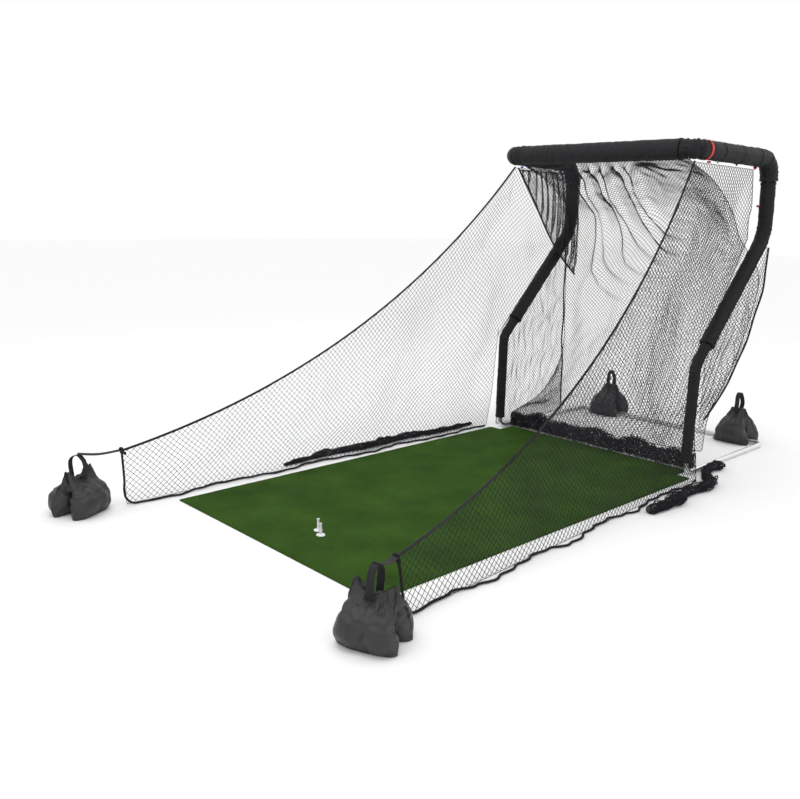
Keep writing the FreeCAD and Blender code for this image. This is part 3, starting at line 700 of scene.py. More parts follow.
def barrier_net(word, side, settings):
    """One side barrier: it hangs from its top rope and stands against the frame's sleeves."""
    barrier = Barrier(word, side)
    floor = 0.012
    behind = -0.045
    sleeve = UPPER_SLEEVE + 0.004
    slope = (SHOULDER - KINK).normalized()
    off = Vector((0, -slope.z, slope.y)) * sleeve
    back = ELBOW.y
    tie = barrier.start.y - ROPE_RADIUS * 0.5
    front = barrier.end.x + 0.04

    def ahead_of_diagonal(y, z):
        place = Vector((0, y, z)) - KINK - off
        return place.dot(off.normalized())

    def inside(y, z):
        clear = back - sleeve * smooth_step(1.9, 1.75, z)
        edge = max(behind - y, min(ahead_of_diagonal(y, z), clear - y))
        lean = (barrier.end.x - front) * z / barrier.end.y
        return min(z - floor, edge, barrier.below_rope(y, z) if y < barrier.start.x else tie - z,
                   tie - z, y - front - lean)

    def place(y, z):
        calm = smooth_step(0.0, 0.3, inside(y, z))
        near_frame = smooth_step(-1.6, 0.0, y) * calm
        shifted_z = z + near_frame * 0.05 * math.sin(y * 5.0 + z * 1.5) + ripple((y, z), 0.5, 0.02) * calm
        shifted_y = y + ripple((z, y), 0.45, 0.03, 3.0) * calm
        out = 0.022 * smooth_step(0.35, 0.0, z)
        spot = barrier.at(shifted_y, shifted_z, out)
        spot.x += side * calm * (ripple((y, z), 0.55, 0.05, 7.0) + ripple((y, z), 0.16, 0.008, 9.0))
        return spot

    return net_piece("barrier_netting_" + word, ["barrier_net_" + word], settings.barrier_bar,
                     (front, floor), (back, tie), inside, place, settings.barrier_strand, 0.302,
                     sheet=False)


class CHIPNET_OT_barriers(bpy.types.Operator):
    """Make the two side barrier nets"""

    bl_idname = "chip_net.barriers"
    bl_label = "Barrier Nets"

    def execute(self, context):
        for word, side in SIDES:
            barrier_net(word, side, context.scene.chip_net)
        return {"FINISHED"}


TOP_Y, TOP_Z = BAR.y + 0.04, BAR.z - BAR_PAD + 0.010
CENTRE_PROFILE = [(TOP_Y, TOP_Z), (0.30, 2.03), (0.66, 1.76), (0.80, 1.36), (0.77, 0.95), (0.60, 0.52),
                  (0.38, 0.24), (0.185, 0.115)]
EDGE_PROFILE = {
    LEFT: [(TOP_Y, TOP_Z), (0.32, 2.03), (0.66, 1.80), (0.83, 1.42), (0.875, 0.98), (0.87, 0.55),
           (0.62, 0.24), (0.185, 0.10)],
    RIGHT: [(TOP_Y, TOP_Z), (0.30, 2.02), (0.62, 1.72), (0.755, 1.36), (0.66, 1.02), (0.42, 0.66),
            (0.20, 0.42), (0.15, 0.16)],
}
PROFILE_STEPS = 60


def profile_lines():
    """The rear net's line from the crossbar to the lip, in the middle and at each edge."""
    lines = {}
    for key, points in ((0, CENTRE_PROFILE), *EDGE_PROFILE.items()):
        lines[key] = smooth_curve([Vector((0, y, z)) for y, z in points], PROFILE_STEPS + 1)
    return lines


def net_half_width(share):
    """The rear net is narrow between the arm pads and wide behind the diagonals."""
    top = BAR_HALF - 0.07
    return top + (NET_HALF - top) * smooth_step(0.05, 0.3, share) + 0.14 * smooth_step(0.33, 0.47, share)


FOLD_COUNT, FOLD_POINTS = 6, 14
FOLD_START, FOLD_SPACING = -0.45, 0.16
FOLD_DROP, FOLD_LIFT = 1.5, 0.1
FOLD_BELLY = 0.35
SHORT_SWING, LONG_SWING = 0.3, 0.9
SHORT_TURN, LONG_TURN = 0.5, 0.7


def fold_lines(half):
    """Folds that fall from the crossbar, belly out and swing across; every second one is longer."""
    lines = []
    for index in range(FOLD_COUNT):
        start = FOLD_START + FOLD_SPACING * index
        drop = FOLD_DROP - FOLD_LIFT * index
        swing, turn = (LONG_SWING, LONG_TURN) if index % 2 == 0 else (SHORT_SWING, SHORT_TURN)
        line = []
        for step in range(FOLD_POINTS):
            share = step / (FOLD_POINTS - 1)
            across = start - FOLD_BELLY * math.sin(math.pi * share) + swing * share ** 2
            line.append(Vector((across * half, drop * math.sin(math.pi * turn * share), 0)))
        lines.append(line)
    return lines


def fold_height(spot, lines, depth):
    """How far the folds stand out at a place: ridges that widen and fade along their lines."""
    total = 0.0
    for line in lines:
        near, along = 1.0, 0.0
        for index, (begin, end) in enumerate(zip(line, line[1:])):
            run = end - begin
            share = min(max((spot - begin).dot(run) / run.length_squared, 0.0), 1.0)
            distance = (spot - begin - run * share).length
            if distance < near:
                near, along = distance, (index + share) / (len(line) - 1)
        width = 0.022 + 0.026 * along
        total += (1 - 0.75 * smooth_step(0.7, 1.0, along)) * math.exp(-(near / width) ** 2)
    return depth * total


def rear_net_surface(settings):
    lines = profile_lines()
    length = line_length(lines[0])
    half = NET_HALF + 0.125
    folds = fold_lines(half)

    def line_at(key, share):
        spot = min(max(share, 0.0), 1.0) * PROFILE_STEPS
        index = min(int(spot), PROFILE_STEPS - 1)
        return lines[key][index].lerp(lines[key][index + 1], spot - index)

    def place(across, down):
        share = down / length
        side = LEFT if across < 0 else RIGHT
        ratio = across / half
        pull = abs(ratio) ** 2.6
        spot = line_at(0, share).lerp(line_at(side, share), pull)
        ahead = line_at(0, share + 0.01) - line_at(0, share - 0.01)
        out = Vector((0, ahead.z, -ahead.y)).normalized()
        calm = (smooth_step(0.0, 0.06, share) * smooth_step(1.0, 0.93, share)
                * smooth_step(1.0, 0.9, abs(ratio)))
        bulge = fold_height(Vector((across, down, 0)), folds, settings.fold_depth)
        bulge += ripple((across, down), 0.35, 0.05, 5.0) + ripple((across, down), 0.09, 0.008, 8.0)
        slack = smooth_step(0.40, 0.62, share) * smooth_step(-0.6, 0.1, ratio)
        bulge += 0.011 * slack * math.sin(across * 118 + 2.5 * math.sin(down * 2.2))
        spot += out * bulge * calm
        spot.x = ratio * net_half_width(share) + ripple((down, across), 0.3, 0.03, 2.0) * calm
        return spot

    return place, length, half


class CHIPNET_OT_rear_net(bpy.types.Operator):
    """Make the hung rear net and the crumpled band along its lower edge"""

    bl_idname = "chip_net.rear_net"
    bl_label = "Rear Net"

    def execute(self, context):
        settings = context.scene.chip_net
        place, length, half = rear_net_surface(settings)

        def inside(across, down):
            return min(half - abs(across), down, length - down)

        net_piece("rear_netting", ["rear_net"], settings.rear_bar, (-half, 0), (half, length),
                  inside, place, settings.strand, 0.5)
        self.make_lip(settings)
        return {"FINISHED"}

    def make_lip(self, settings):
        """Spare netting pushed together along the back of the mat."""
        low, high = node_box("net_lip")
        low = low + Vector((-0.022, -0.045, 0))
        high = high + Vector((0.022, 0.03, 0.004))
        depth, tall, wide = high.y - low.y, high.z - low.z, high.x - low.x
        folds, strip = 11, 1.15

        def place(across, down):
            share = (across - low.x) / wide
            turn = down / strip * folds
            swing = abs(turn % 2 - 1)
            heap = (0.82 + ripple((share * 9, 0), 1.0, 0.3, 4.0)
                    + ripple((share * 60, turn // 1), 1.0, 0.16, 2.0))
            y = low.y + depth * (0.15 + 0.75 * turn / folds) + ripple((across, down), 0.05, 0.012, 6.0)
            z = 0.012 + tall * heap * (swing if turn > 1 else max(swing, 0.1))
            z += ripple((across, down), 0.035, 0.02, 1.0)
            x = across + ripple((down, across), 0.06, 0.03, 3.0)
            return Vector((x, y, min(max(z, 0.012), tall * 1.15)))

        def inside(across, down):
            return min(across - low.x, high.x - across, down, strip - down)

        net_piece("lip_netting", ["net_lip"], settings.rear_bar * 0.86, (low.x, 0),
                  (high.x, strip), inside, place, settings.thick_strand, 0.6)


SIDE_MESH = {LEFT: 1.0, RIGHT: 1.4}
SIDE_STRAND = {LEFT: 1.0, RIGHT: 0.75}


class CHIPNET_OT_side_nets(bpy.types.Operator):
    """Make the nets behind the diagonals and the gathered net under the left arm"""

    bl_idname = "chip_net.side_nets"
    bl_label = "Side Nets"

    def execute(self, context):
        settings = context.scene.chip_net
        for word, side in SIDES:
            self.make_side(word, side, settings)
        self.make_gathered(settings)
        return {"FINISHED"}

    def make_side(self, word, side, settings):
        """A panel between the diagonal and the hanging rope behind it."""
        rope = smooth_curve(rear_rope_points(side), 60)
        slope = (SHOULDER - KINK).normalized()
        under = Vector((0, slope.z, -slope.y))
        floor = 0.02 if side == LEFT else rope[-1].z - 0.05

        def rope_y(z):
            near = min(rope, key=lambda point: abs(point.z - z))
            return near.y - ROPE_RADIUS * 0.5

        def inside(y, z):
            behind = (Vector((0, y, z)) - KINK).dot(under) + 0.01
            return min(behind if z > KINK.z else y - 0.02, rope_y(z) - y, z - floor, rope[0].z - z)

        def place(y, z):
            calm = smooth_step(0.0, 0.12, inside(y, z))
            bulge = ripple((y, z), 0.3, 0.03, 1.0) + ripple((y * 2.2, z * 0.6), 0.09, 0.012, 4.0)
            return Vector((side * (SIDE_PLANE + abs(bulge) * calm), y + ripple((z, y), 0.2, 0.02) * calm, z))

        net_piece("side_netting_" + word, ["side_net_" + word], settings.rear_bar * SIDE_MESH[side],
                  (0.0, floor), (max(point.y for point in rope), rope[0].z), inside, place,
                  settings.strand * SIDE_STRAND[side], 0.302,
                  sheet=False)

    def make_gathered(self, settings):
        """Pleats that hang from the left arm and are caught up along a slanting rope."""
        rope = smooth_curve(gather_rope_points(), 60)
        top = ARM_UNDERSIDE - 0.01
        fullness = 2.4

        def rope_z(y):
            return min(rope, key=lambda point: abs(point.y - y)).z

        def inside(along, z):
            y = along / fullness
            return min(y + 0.03, 0.80 - y, top - z, (z - rope_z(y)) * 0.6)

        def place(along, z):
            y = along / fullness
            pleat = math.sin(along * 36 + 2.0 * math.sin(z * 3.0) + ripple((along, z), 0.4, 3.0))
            calm = smooth_step(0.0, 0.04, inside(along, z))
            sway = 0.03 * (top - z) + 0.012 * math.cos(along * 36 + 1.0)
            return Vector((GATHER_PLANE + (0.006 + 0.024 * pleat) * calm, y + sway * calm,
                           z + ripple((along, z), 0.12, 0.02, 5.0) * calm))

        net_piece("gathered_netting", ["gathered_net_left"], settings.rear_bar * 0.7,
                  (-0.06, rope[-1].z), (0.8 * fullness, top), inside, place, settings.thick_strand, 0.34)


HEAP_ENDS = {LEFT: (-2.05, -0.11), RIGHT: (-0.90, 0.40)}
HEAP_GAP, HEAP_WANDER, HEAP_TUBE_GAP = 0.076, 0.028, 0.012


def heap_points(barrier, radius):
    """The middle line of a heap, beside the barrier and, behind its foot, beside the base tube."""
    points = []
    start, end = HEAP_ENDS[barrier.side]
    for index in range(6):
        y = start + (end - start) * index / 5
        x = barrier.x(y, 0) + barrier.side * (HEAP_GAP + radius + HEAP_WANDER * (index % 2))
        if y > 0:
            x = barrier.side * (FRAME_HALF + TUBE_RADIUS + HEAP_TUBE_GAP + radius)
        points.append(Vector((x, y, radius + 0.002)))
    return points


class CHIPNET_OT_bundles(bpy.types.Operator):
    """Make the heaps of spare netting beside the mat"""

    bl_idname = "chip_net.bundles"
    bl_label = "Net Bundles"

    def execute(self, context):
        settings = context.scene.chip_net
        for word, side in SIDES:
            self.make_bundle(word, Barrier(word, side), settings)
        return {"FINISHED"}

    def make_bundle(self, word, barrier, settings):
        """A strip of netting pushed together and rolled up loosely."""
        low, high = node_box("net_bundle_" + word)
        radius = (high.z - low.z) / 2
        route = smooth_curve(heap_points(barrier, radius), 121)
        length, strip, turns = line_length(route), 0.80, 3.0
        frames = line_frames(route, (1, 0, 0))

        def place(along, down):
            share = min(max(along / length, 0.0), 1.0)
            spot = share * (len(frames) - 1)
            index = min(int(spot), len(frames) - 2)
            point = frames[index][0].lerp(frames[index + 1][0], spot - index)
            across = frames[index][2]
            angle = math.tau * turns * down / strip + 2.0 * noise.noise(Vector((along * 5, 0.3, down * 2)))
            arm = Vector((math.cos(angle), math.sin(angle)))
            taper = 0.5 + 0.5 * math.sin(math.pi * (0.06 + 0.88 * share)) ** 0.35
            lump = 0.80 + 0.45 * noise.noise(Vector((along * 7, barrier.side, 0.5)))
            crush = 0.75 + 0.55 * noise.noise(Vector((along * 16, arm.x * 1.3, arm.y * 1.3 + down * 5)))
            reach = radius * taper * lump * crush * (0.55 + 0.45 * down / strip)
            spot = point + across * (arm.x * reach * 1.25)
            spot.y += 0.02 * noise.noise(Vector((along * 20, down * 20, 1.5)))
            spot.z = radius * lump * taper * 0.85 + arm.y * reach
            spot.z = min(max(spot.z, 0.004 + 0.004 * abs(arm.x)), radius * 2)
            return spot

        def inside(along, down):
            return min(along, length - along, down, strip - down)

        net_piece("bundle_netting_" + word, ["net_bundle_" + word], settings.barrier_bar * 0.72,
                  (0, 0), (length, strip), inside, place, settings.thick_strand, 0.34)


# ---------------------------------------------------------------- padding
def sleeve_piece(name, node, line, radius, settings, seam_angle, slant, puff, material):
    """A sewn sleeve of padded cloth round a tube: outer cloth, rolled ends and an inner face."""
    frames = line_frames(line, (1, 0, 0) if abs(line[-1].x - line[0].x) < 0.3 else (0, 1, 0))
    last = len(line) - 1
    bore = TUBE_RADIUS + 0.0045
    turns = [0.0] * (last + 1)
    for index in range(2, last - 1):
        turns[index] = frames[index - 2][1].angle(frames[index + 2][1]) / (4 * settings.ring)
    roll = [(0, bore), (0, radius * 0.72), (0, radius * 0.93)]
    rings = roll + [(index, radius) for index in range(1, last)]
    rings += [(last, share) for _, share in reversed(roll)]
    rings += [(index, bore) for index in range(last - 1, 0, -4)]
    ring_count = len(rings)
    around = settings.around
    length = line_length(line)

    def relief(index, angle):
        """Wrinkles, puckers in the bends and the pinched seam."""
        along = length * index / last
        arc = angle * radius
        slanted = Vector((along * 14 + arc * slant, arc * 9 - along * slant * 0.4, 0.7))
        height = abs(noise.noise(slanted)) * -1.5 + 0.45
        height += 0.5 * noise.noise(Vector((along * 45, arc * 22, 2.0)))
        pucker = turns[index] * 0.05 * noise.noise(Vector((along * 75, arc * 4, 5.0)))
        gap = math.remainder(angle - seam_angle, math.tau) * radius
        seam = math.exp(-(gap / 0.005) ** 2)
        gather = math.exp(-(gap / 0.03) ** 2) * math.sin(along * 260) * 0.0006
        edge = min(index, last - index) * settings.ring
        hem = 0.0025 * (smooth_step(0.03, 0.022, edge) - 2 * math.exp(-((edge - 0.027) / 0.003) ** 2) * 0.6)
        crown = puff * math.cos(2 * (angle - seam_angle)) * 0.5
        return (settings.wrinkle * height + pucker * 0.02 - settings.seam * seam + gather + hem + crown)

    def place(across, down):
        step = round(across * ring_count) % ring_count
        index, size = rings[step]
        angle = math.tau * down
        point, _, first, second = frames[index]
        reach = size if size <= bore else size - 0.002
        if size > bore:
            reach += relief(index, angle) * (1.0 if size == radius else 0.3)
        return point + (first * math.cos(angle) + second * math.sin(angle)) * reach

    bm = mapped_grid(ring_count, around, place, (length * 2, math.tau * radius))
    mend_seam(bm)
    piece = add_mesh(name, bm, material)
    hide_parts(node)
    return piece


def side_corner(side, point):
    return Vector((side * FRAME_HALF, point.y, point.z))


def toward(start, end, distance):
    return start + (end - start).normalized() * distance


class CHIPNET_OT_padding(bpy.types.Operator):
    """Make the padded sleeves on the crossbar, arms, uprights and legs"""

    bl_idname = "chip_net.padding"
    bl_label = "Padding"

    def execute(self, context):
        pads = context.scene.chip_net_pads
        kink_bend, shoulder_bend, elbow_bend, corner_bend = 0.160, 0.260, 0.130, 0.078
        end_room, above_kink = corner_bend + 0.022, kink_bend + 0.02
        below_elbow, gap = elbow_bend + 0.025, 0.002
        corners = {side: Vector((side * BAR_HALF, BAR.y, BAR.z)) for side in (LEFT, RIGHT)}
        for word, side in SIDES:
            kink, shoulder, elbow = (side_corner(side, point) for point in (KINK, SHOULDER, ELBOW))
            corner = corners[side]
            low = Vector((kink.x, 0, 0.100))
            leg = rounded_line([low, kink, toward(kink, shoulder, above_kink)], [kink_bend], pads.ring)
            sleeve_piece("leg_padding_" + word, "leg_sleeve_" + word, leg, LEG_SLEEVE, pads, 0.5, 5.0, 0.002,
                         "sleeve")
            upper = rounded_line([toward(kink, shoulder, above_kink + gap), shoulder,
                                  toward(elbow, shoulder, below_elbow + gap)], [shoulder_bend], pads.ring)
            sleeve_piece("upper_padding_" + word, "upper_sleeve_" + word, upper, UPPER_SLEEVE, pads,
                         0.5, -6.0, 0.003, "sleeve")
            arm = rounded_line([toward(elbow, shoulder, below_elbow), elbow, corner,
                                toward(corner, corners[-side], end_room)], [elbow_bend, corner_bend],
                               pads.ring)
            sleeve_piece("arm_padding_" + word, "arm_pad_" + word, arm, ARM_PAD, pads, -1.2, 4.0, 0.002,
                         "pad")
        room = end_room + gap
        bar = rounded_line([toward(corners[LEFT], corners[RIGHT], room),
                            toward(corners[RIGHT], corners[LEFT], room)], [], pads.ring)
        sleeve_piece("crossbar_padding", "crossbar_pad", bar, BAR_PAD, pads, -1.9, 3.0, 0.002, "pad")
        return {"FINISHED"}


# ---------------------------------------------------------------- turf and tees
class CHIPNET_OT_turf(bpy.types.Operator):
    """Make the turf mat with its uneven pile"""

    bl_idname = "chip_net.turf"
    bl_label = "Turf Mat"

    def execute(self, context):
        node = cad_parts["turf_mat"]
        low, high = node_box("turf_mat")
        bm = bmesh.new()
        bm.from_mesh(node.data)
        mend_seam(bm)
        bmesh.ops.dissolve_limit(bm, angle_limit=0.02, verts=bm.verts, edges=bm.edges)
        spacing = 0.0095
        for axis, start, stop in ((0, low.x, high.x), (1, low.y, high.y)):
            for step in range(1, round((stop - start) / spacing)):
                place = Vector((0, 0, 0))
                place[axis] = start + step * spacing
                normal = Vector((0, 0, 0))
                normal[axis] = 1
                kept = [face for face in bm.faces if face.normal.z > 0.9]
                parts = {item for face in kept for item in (face, *face.edges, *face.verts)}
                bmesh.ops.bisect_plane(bm, geom=list(parts), plane_co=place, plane_no=normal)
        rest = low.z + (high.z - low.z) * 0.4
        for vert in bm.verts:
            if vert.co.z > rest:
                edge = min(vert.co.x - low.x, high.x - vert.co.x, vert.co.y - low.y, high.y - vert.co.y)
                pile = noise.noise(vert.co * 90) * 0.0012 + noise.noise(vert.co * 6) * 0.0008
                vert.co.z += pile - 0.0015 * smooth_step(0.01, 0.0, edge)
        piece = add_mesh("turf_pile_mat", bm, "turf", outward=False)
        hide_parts("turf_mat")
        return {"FINISHED"}


class CHIPNET_OT_frame_finishes(bpy.types.Operator):
    """Give the frame tubes, buttons, springs and tees their finishes"""

    bl_idname = "chip_net.frame_finishes"
    bl_label = "Frame Finishes"

    def execute(self, context):
        for name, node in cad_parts.items():
            if "_tube" in name:
                material = "tube"
            elif name.startswith(("snap_button", "button_springs")):
                material = "steel"
            elif name.startswith("tee_"):
                material = "rubber"
            else:
                continue
            node.data.materials.clear()
            node.data.materials.append(MATERIALS[material])
        return {"FINISHED"}


# ---------------------------------------------------------------- sandbags
def fill_bag(piece, held, settings, floor=0.0015):
    """Fill a sewn bag: cloth under pressure, with its gathered points held."""
    start = [vert.co.copy() for vert in piece.data.vertices]
    group = piece.vertex_groups.new(name="held")
    group.add([index for index, point in enumerate(start) if held(point)], 1.0, "REPLACE")
    cloth = piece.modifiers.new("Cloth", "CLOTH")
    cloth.settings.quality = 5
    cloth.settings.mass = 0.2
    cloth.settings.tension_stiffness = 12
    cloth.settings.compression_stiffness = 8
    cloth.settings.bending_stiffness = 0.05
    cloth.settings.use_pressure = True
    cloth.settings.uniform_pressure_force = settings.pressure
    cloth.settings.shrink_min = -settings.slack
    cloth.settings.vertex_group_mass = group.name
    cloth.settings.effector_weights.gravity = 0.0
    cloth.point_cache.frame_start, cloth.point_cache.frame_end = 1, 20
    scene = bpy.context.scene
    for step in range(1, 21):
        scene.frame_set(step)
    filled = bpy.data.meshes.new_from_object(
        piece.evaluated_get(bpy.context.evaluated_depsgraph_get()))
    piece.modifiers.clear()
    piece.vertex_groups.clear()
    for vert, from_here, to_there in zip(piece.data.vertices, start, filled.vertices):
        step = to_there.co - from_here
        if step.length > settings.travel:
            step *= settings.travel / step.length
        vert.co = from_here + step
    bpy.data.meshes.remove(filled)
    scene.frame_set(1)
    for vert in piece.data.vertices:
        vert.co.z = max(vert.co.z, floor)
    return piece


BAG_TURN = {"front_right": math.radians(22), "front_left": math.radians(-62), "rear_right": 0.0,
            "rear_left": 0.0}
BAG_WIDTH, BAG_TALL, POUCH_THICK = 0.290, 0.275, 0.135


def pouch(side, slot, neck, hollow, seed):
    """One sewn pouch of a saddle bag: pointed lower corners, a creased middle, drawn in at the top."""
    bm = bmesh.new()
    bmesh.ops.create_cube(bm, size=1)
    bmesh.ops.subdivide_edges(bm, edges=bm.edges, cuts=30, use_grid_fill=True)
    for vert in bm.verts:
        across, through, up = vert.co.x * 2, vert.co.y * 2, vert.co.z + 0.5
        drawn = smooth_step(0.35, 1.0, up)
        half_width = BAG_WIDTH / 2 * (1.0 - (1 - neck) * up ** 1.15)
        crease_at = 0.50 + 0.10 * noise.noise(Vector((across * 1.6, seed, 0.2)))
        crease = math.exp(-((up - crease_at) / 0.045) ** 2)
        thick = POUCH_THICK * (0.60 + 0.40 * smooth_step(0.0, 0.24, up) - 0.82 * smooth_step(0.34, 1.0, up)
                               - 0.16 * crease)
        pinch = max(1 - abs(across) ** 3.2, 0.0) ** 0.55
        pleats = 1 + 0.35 * drawn * math.sin(across * 9 + seed + 2 * noise.noise(Vector((up * 3, seed, 0))))
        lean = side * ((slot + POUCH_THICK * 0.98) / 2 * (1 - smooth_step(0.35, 1.0, up) * 0.86))
        depth = lean + through * thick / 2 * (0.06 + 0.94 * pinch) * pleats
        crush = noise.noise_vector(Vector((across * 2.5, through * 1.5, up * 4 + seed))) * 0.008
        crush += noise.noise_vector(Vector((across * 7, through * 4, up * 9 + seed))) * 0.004 * (0.4 + up)
        crush += noise.noise_vector(Vector((across * 14, through * 3, up * 20 + seed))) * 0.003 * crease
        sag = hollow * drawn * (1 - across ** 2)
        crush.z *= smooth_step(0.0, 0.2, up)
        vert.co = Vector((across * half_width, depth, up * BAG_TALL * 0.985 - sag + 0.002)) + crush
        vert.co.z = max(vert.co.z, 0.002)
    return bm


class CHIPNET_OT_sandbags(bpy.types.Operator):
    """Make the saddle sandbags, their webbing loops and the straps that tie them to the ropes"""

    bl_idname = "chip_net.sandbags"
    bl_label = "Sandbags"

    def execute(self, context):
        settings = context.scene.chip_net_bags
        for word in BAG_TURN:
            self.make_bag(word, settings)
            self.make_handle(word)
        for word, side in SIDES:
            self.make_strap(word, side)
        return {"FINISHED"}

    def make_bag(self, word, settings):
        """Two pouches, swelled by their sand."""
        name = "sandbag_" + word
        rear = word.startswith("rear")
        centre = node_centre(name)
        centre.z = 0
        turn = Matrix.Rotation(BAG_TURN[word], 4, "Z")
        slot = TUBE_RADIUS * 2 + 0.012 if rear else 0.014
        seed = 3.0 * list(BAG_TURN).index(word)
        both = []
        for side in (LEFT, RIGHT):
            bm = pouch(side, slot, *((0.34, 0.0) if rear else (0.66, 0.055)), seed + side)
            bmesh.ops.transform(bm, matrix=Matrix.Translation(centre) @ turn, verts=bm.verts)
            bmesh.ops.recalc_face_normals(bm, faces=bm.faces)
            mesh = bpy.data.meshes.new("pouch")
            bm.to_mesh(mesh)
            bm.free()
            both.append(mesh)
        piece = add_mesh("sandbag_cloth_" + word, joined(both), "bag", name if rear else "root")
        fill_bag(piece, lambda point: point.z > BAG_TALL - 0.07 or point.z < 0.006, settings)
        rounding = piece.modifiers.new("Smooth cloth", "SUBSURF")
        rounding.levels = rounding.render_levels = 1
        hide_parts(name)
        return piece

    def make_handle(self, word):
        """A loop of webbing that stands on the bag."""
        name = "sandbag_handle_" + word
        low, high = node_box(name)
        body = "sandbag_" + word if word.startswith("rear") else "root"
        centre = node_centre(name)
        turn = Matrix.Rotation(BAG_TURN[word], 3, "Z")
        rise = high.z - low.z - 0.004
        span, foot, sunk = (0.050, 0.044, 0.030) if word.startswith("rear") else (0.052, 0.046, 0.072)
        shape = [(-foot, -sunk), (-span, 0.3 * rise), (-span * 0.66, 0.78 * rise), (0, rise),
                 (span * 0.6, 0.8 * rise), (span, 0.3 * rise), (foot, -sunk)]
        line = smooth_curve([turn @ Vector((0.004 * math.sin(up * 40), side, up))
                             + Vector((centre.x, centre.y, low.z + 0.002)) for side, up in shape], 46)
        strap_piece("sandbag_loop_" + word, name, line, turn @ Vector((1, 0, 0)), 0.036, 0.0032, body)

    def make_strap(self, word, side):
        """The flat strap from the bag's loop up to the knot in the barrier's rope."""
        knot = Barrier(word, side).knot()
        low, high = node_box("sandbag_handle_front_" + word)
        top = (low + high) / 2
        top.z = high.z
        middle = (knot + top) / 2 + Vector((0.01 * side, 0, -0.012))
        line = smooth_curve([knot + Vector((0, 0, 0.004)), middle, top + Vector((0, 0, 0.003))], 24)
        strap_piece("knot_strap_" + word, None, line, Vector((1, 0, 0)), 0.034, 0.0028, "root")
        knots = [tied_knot(knot, 0.020, side), tied_knot(knot + Vector((0, 0.012, -0.016)), 0.016, side + 3)]
        add_mesh("strap_knot_" + word, joined(knots), "rope")


def strap_piece(name, node, line, across, width, thick, body):
    """Webbing with rounded edges along a line."""
    frames = line_frames(line, across)
    outline = ((-1, -0.6), (-0.93, -1), (0.93, -1), (1, -0.6), (1, 0.6), (0.93, 1), (-0.93, 1), (-1, 0.6))

    def place(along, round_it):
        point, _, side, up = frames[round(along * (len(line) - 1))]
        corner = outline[round(round_it * 8) % 8]
        return point + side * (corner[0] * width / 2) + up * (corner[1] * thick / 2)

    bm = mapped_grid(len(line) - 1, 8, place, (line_length(line), width * 2.2))
    mend_seam(bm)
    bmesh.ops.holes_fill(bm, edges=[edge for edge in bm.edges if edge.is_boundary], sides=12)
    piece = add_mesh(name, bm, "webbing", body)
    if node:
        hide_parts(node)
    return piece


# ---------------------------------------------------------------- ties
class CHIPNET_OT_ties(bpy.types.Operator):
    """Make the coloured tapes, the knots and the cords that lash the nets to the padding"""

    bl_idname = "chip_net.ties"
    bl_label = "Ties"

    def execute(self, context):
        corners = {side: Vector((side * BAR_HALF, BAR.y, BAR.z)) for side in (LEFT, RIGHT)}
        arm_way = side_corner(RIGHT, ELBOW) - corners[RIGHT]
        tape = corners[RIGHT] + arm_way.normalized() * (0.078 + 0.010)
        band = ring_band("tape", tape, arm_way.normalized(), ARM_PAD + 0.003, 0.020, 0.002)
        groups = {LEFT: [], RIGHT: [band]}
        for side in (LEFT, RIGHT):
            elbow, shoulder = side_corner(side, ELBOW), side_corner(side, SHOULDER)
            corner = corners[side]
            drop = Vector((0, 0, ARM_PAD + 0.0095))
            spots = [toward(corner, elbow, 0.150) - drop, toward(elbow, corner, 0.190) - drop,
                     toward(elbow, shoulder, 0.330) - Vector((side * (UPPER_SLEEVE + 0.0095), 0, 0))]
            groups[side] += [tied_knot(spot, 0.012, seed) for seed, spot in enumerate(spots)]
        for side, node, material in ((LEFT, "blue_ties", "blue"), (RIGHT, "red_ties", "red")):
            piece = add_mesh(node + "_tape", joined(groups[side]), material)
            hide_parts(node)
        cords = []
        for side in (LEFT, RIGHT):
            elbow, corner = side_corner(side, ELBOW), corners[side]
            for index, distance in enumerate((0.200, 0.430, 0.660)):
                spot = toward(elbow, corner, distance)
                direction = (corner - elbow).normalized()
                cords.append(ring_band("cord", spot, direction, ARM_PAD + 0.0012, 0.006, 0.002))
                foot = Vector((0, 0, ARM_PAD + 0.006))
                cords.append(tied_knot(spot - foot, 0.006, index + 5))
        piece = add_mesh("arm_lashing", joined(cords), "rope")
        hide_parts("arm_ties")
        return {"FINISHED"}


def joined(parts):
    """One bmesh from several meshes."""
    bm = bmesh.new()
    for part in parts:
        bm.from_mesh(part)
        bpy.data.meshes.remove(part)
    return bm


def ring_band(name, centre, direction, radius, width, thick):
    """A soft band round a sleeve."""
    frames = line_frames([centre - direction, centre + direction], (0, 0, 1))
    _, ahead, first, second = frames[0]

    def place(around, section):
        angle, turn = math.tau * around, math.tau * section
        swell = thick / 2 * math.sin(turn)
        wobble = 0.0012 * math.sin(angle * 3 + 1)
        arm = first * math.cos(angle) + second * math.sin(angle)
        return centre + arm * (radius + swell) + ahead * (width / 2 * math.cos(turn) + wobble)

    bm = mend_seam(mapped_grid(56, 10, place))
    mesh = bpy.data.meshes.new(name)
    bm.to_mesh(mesh)
    bm.free()
    return mesh


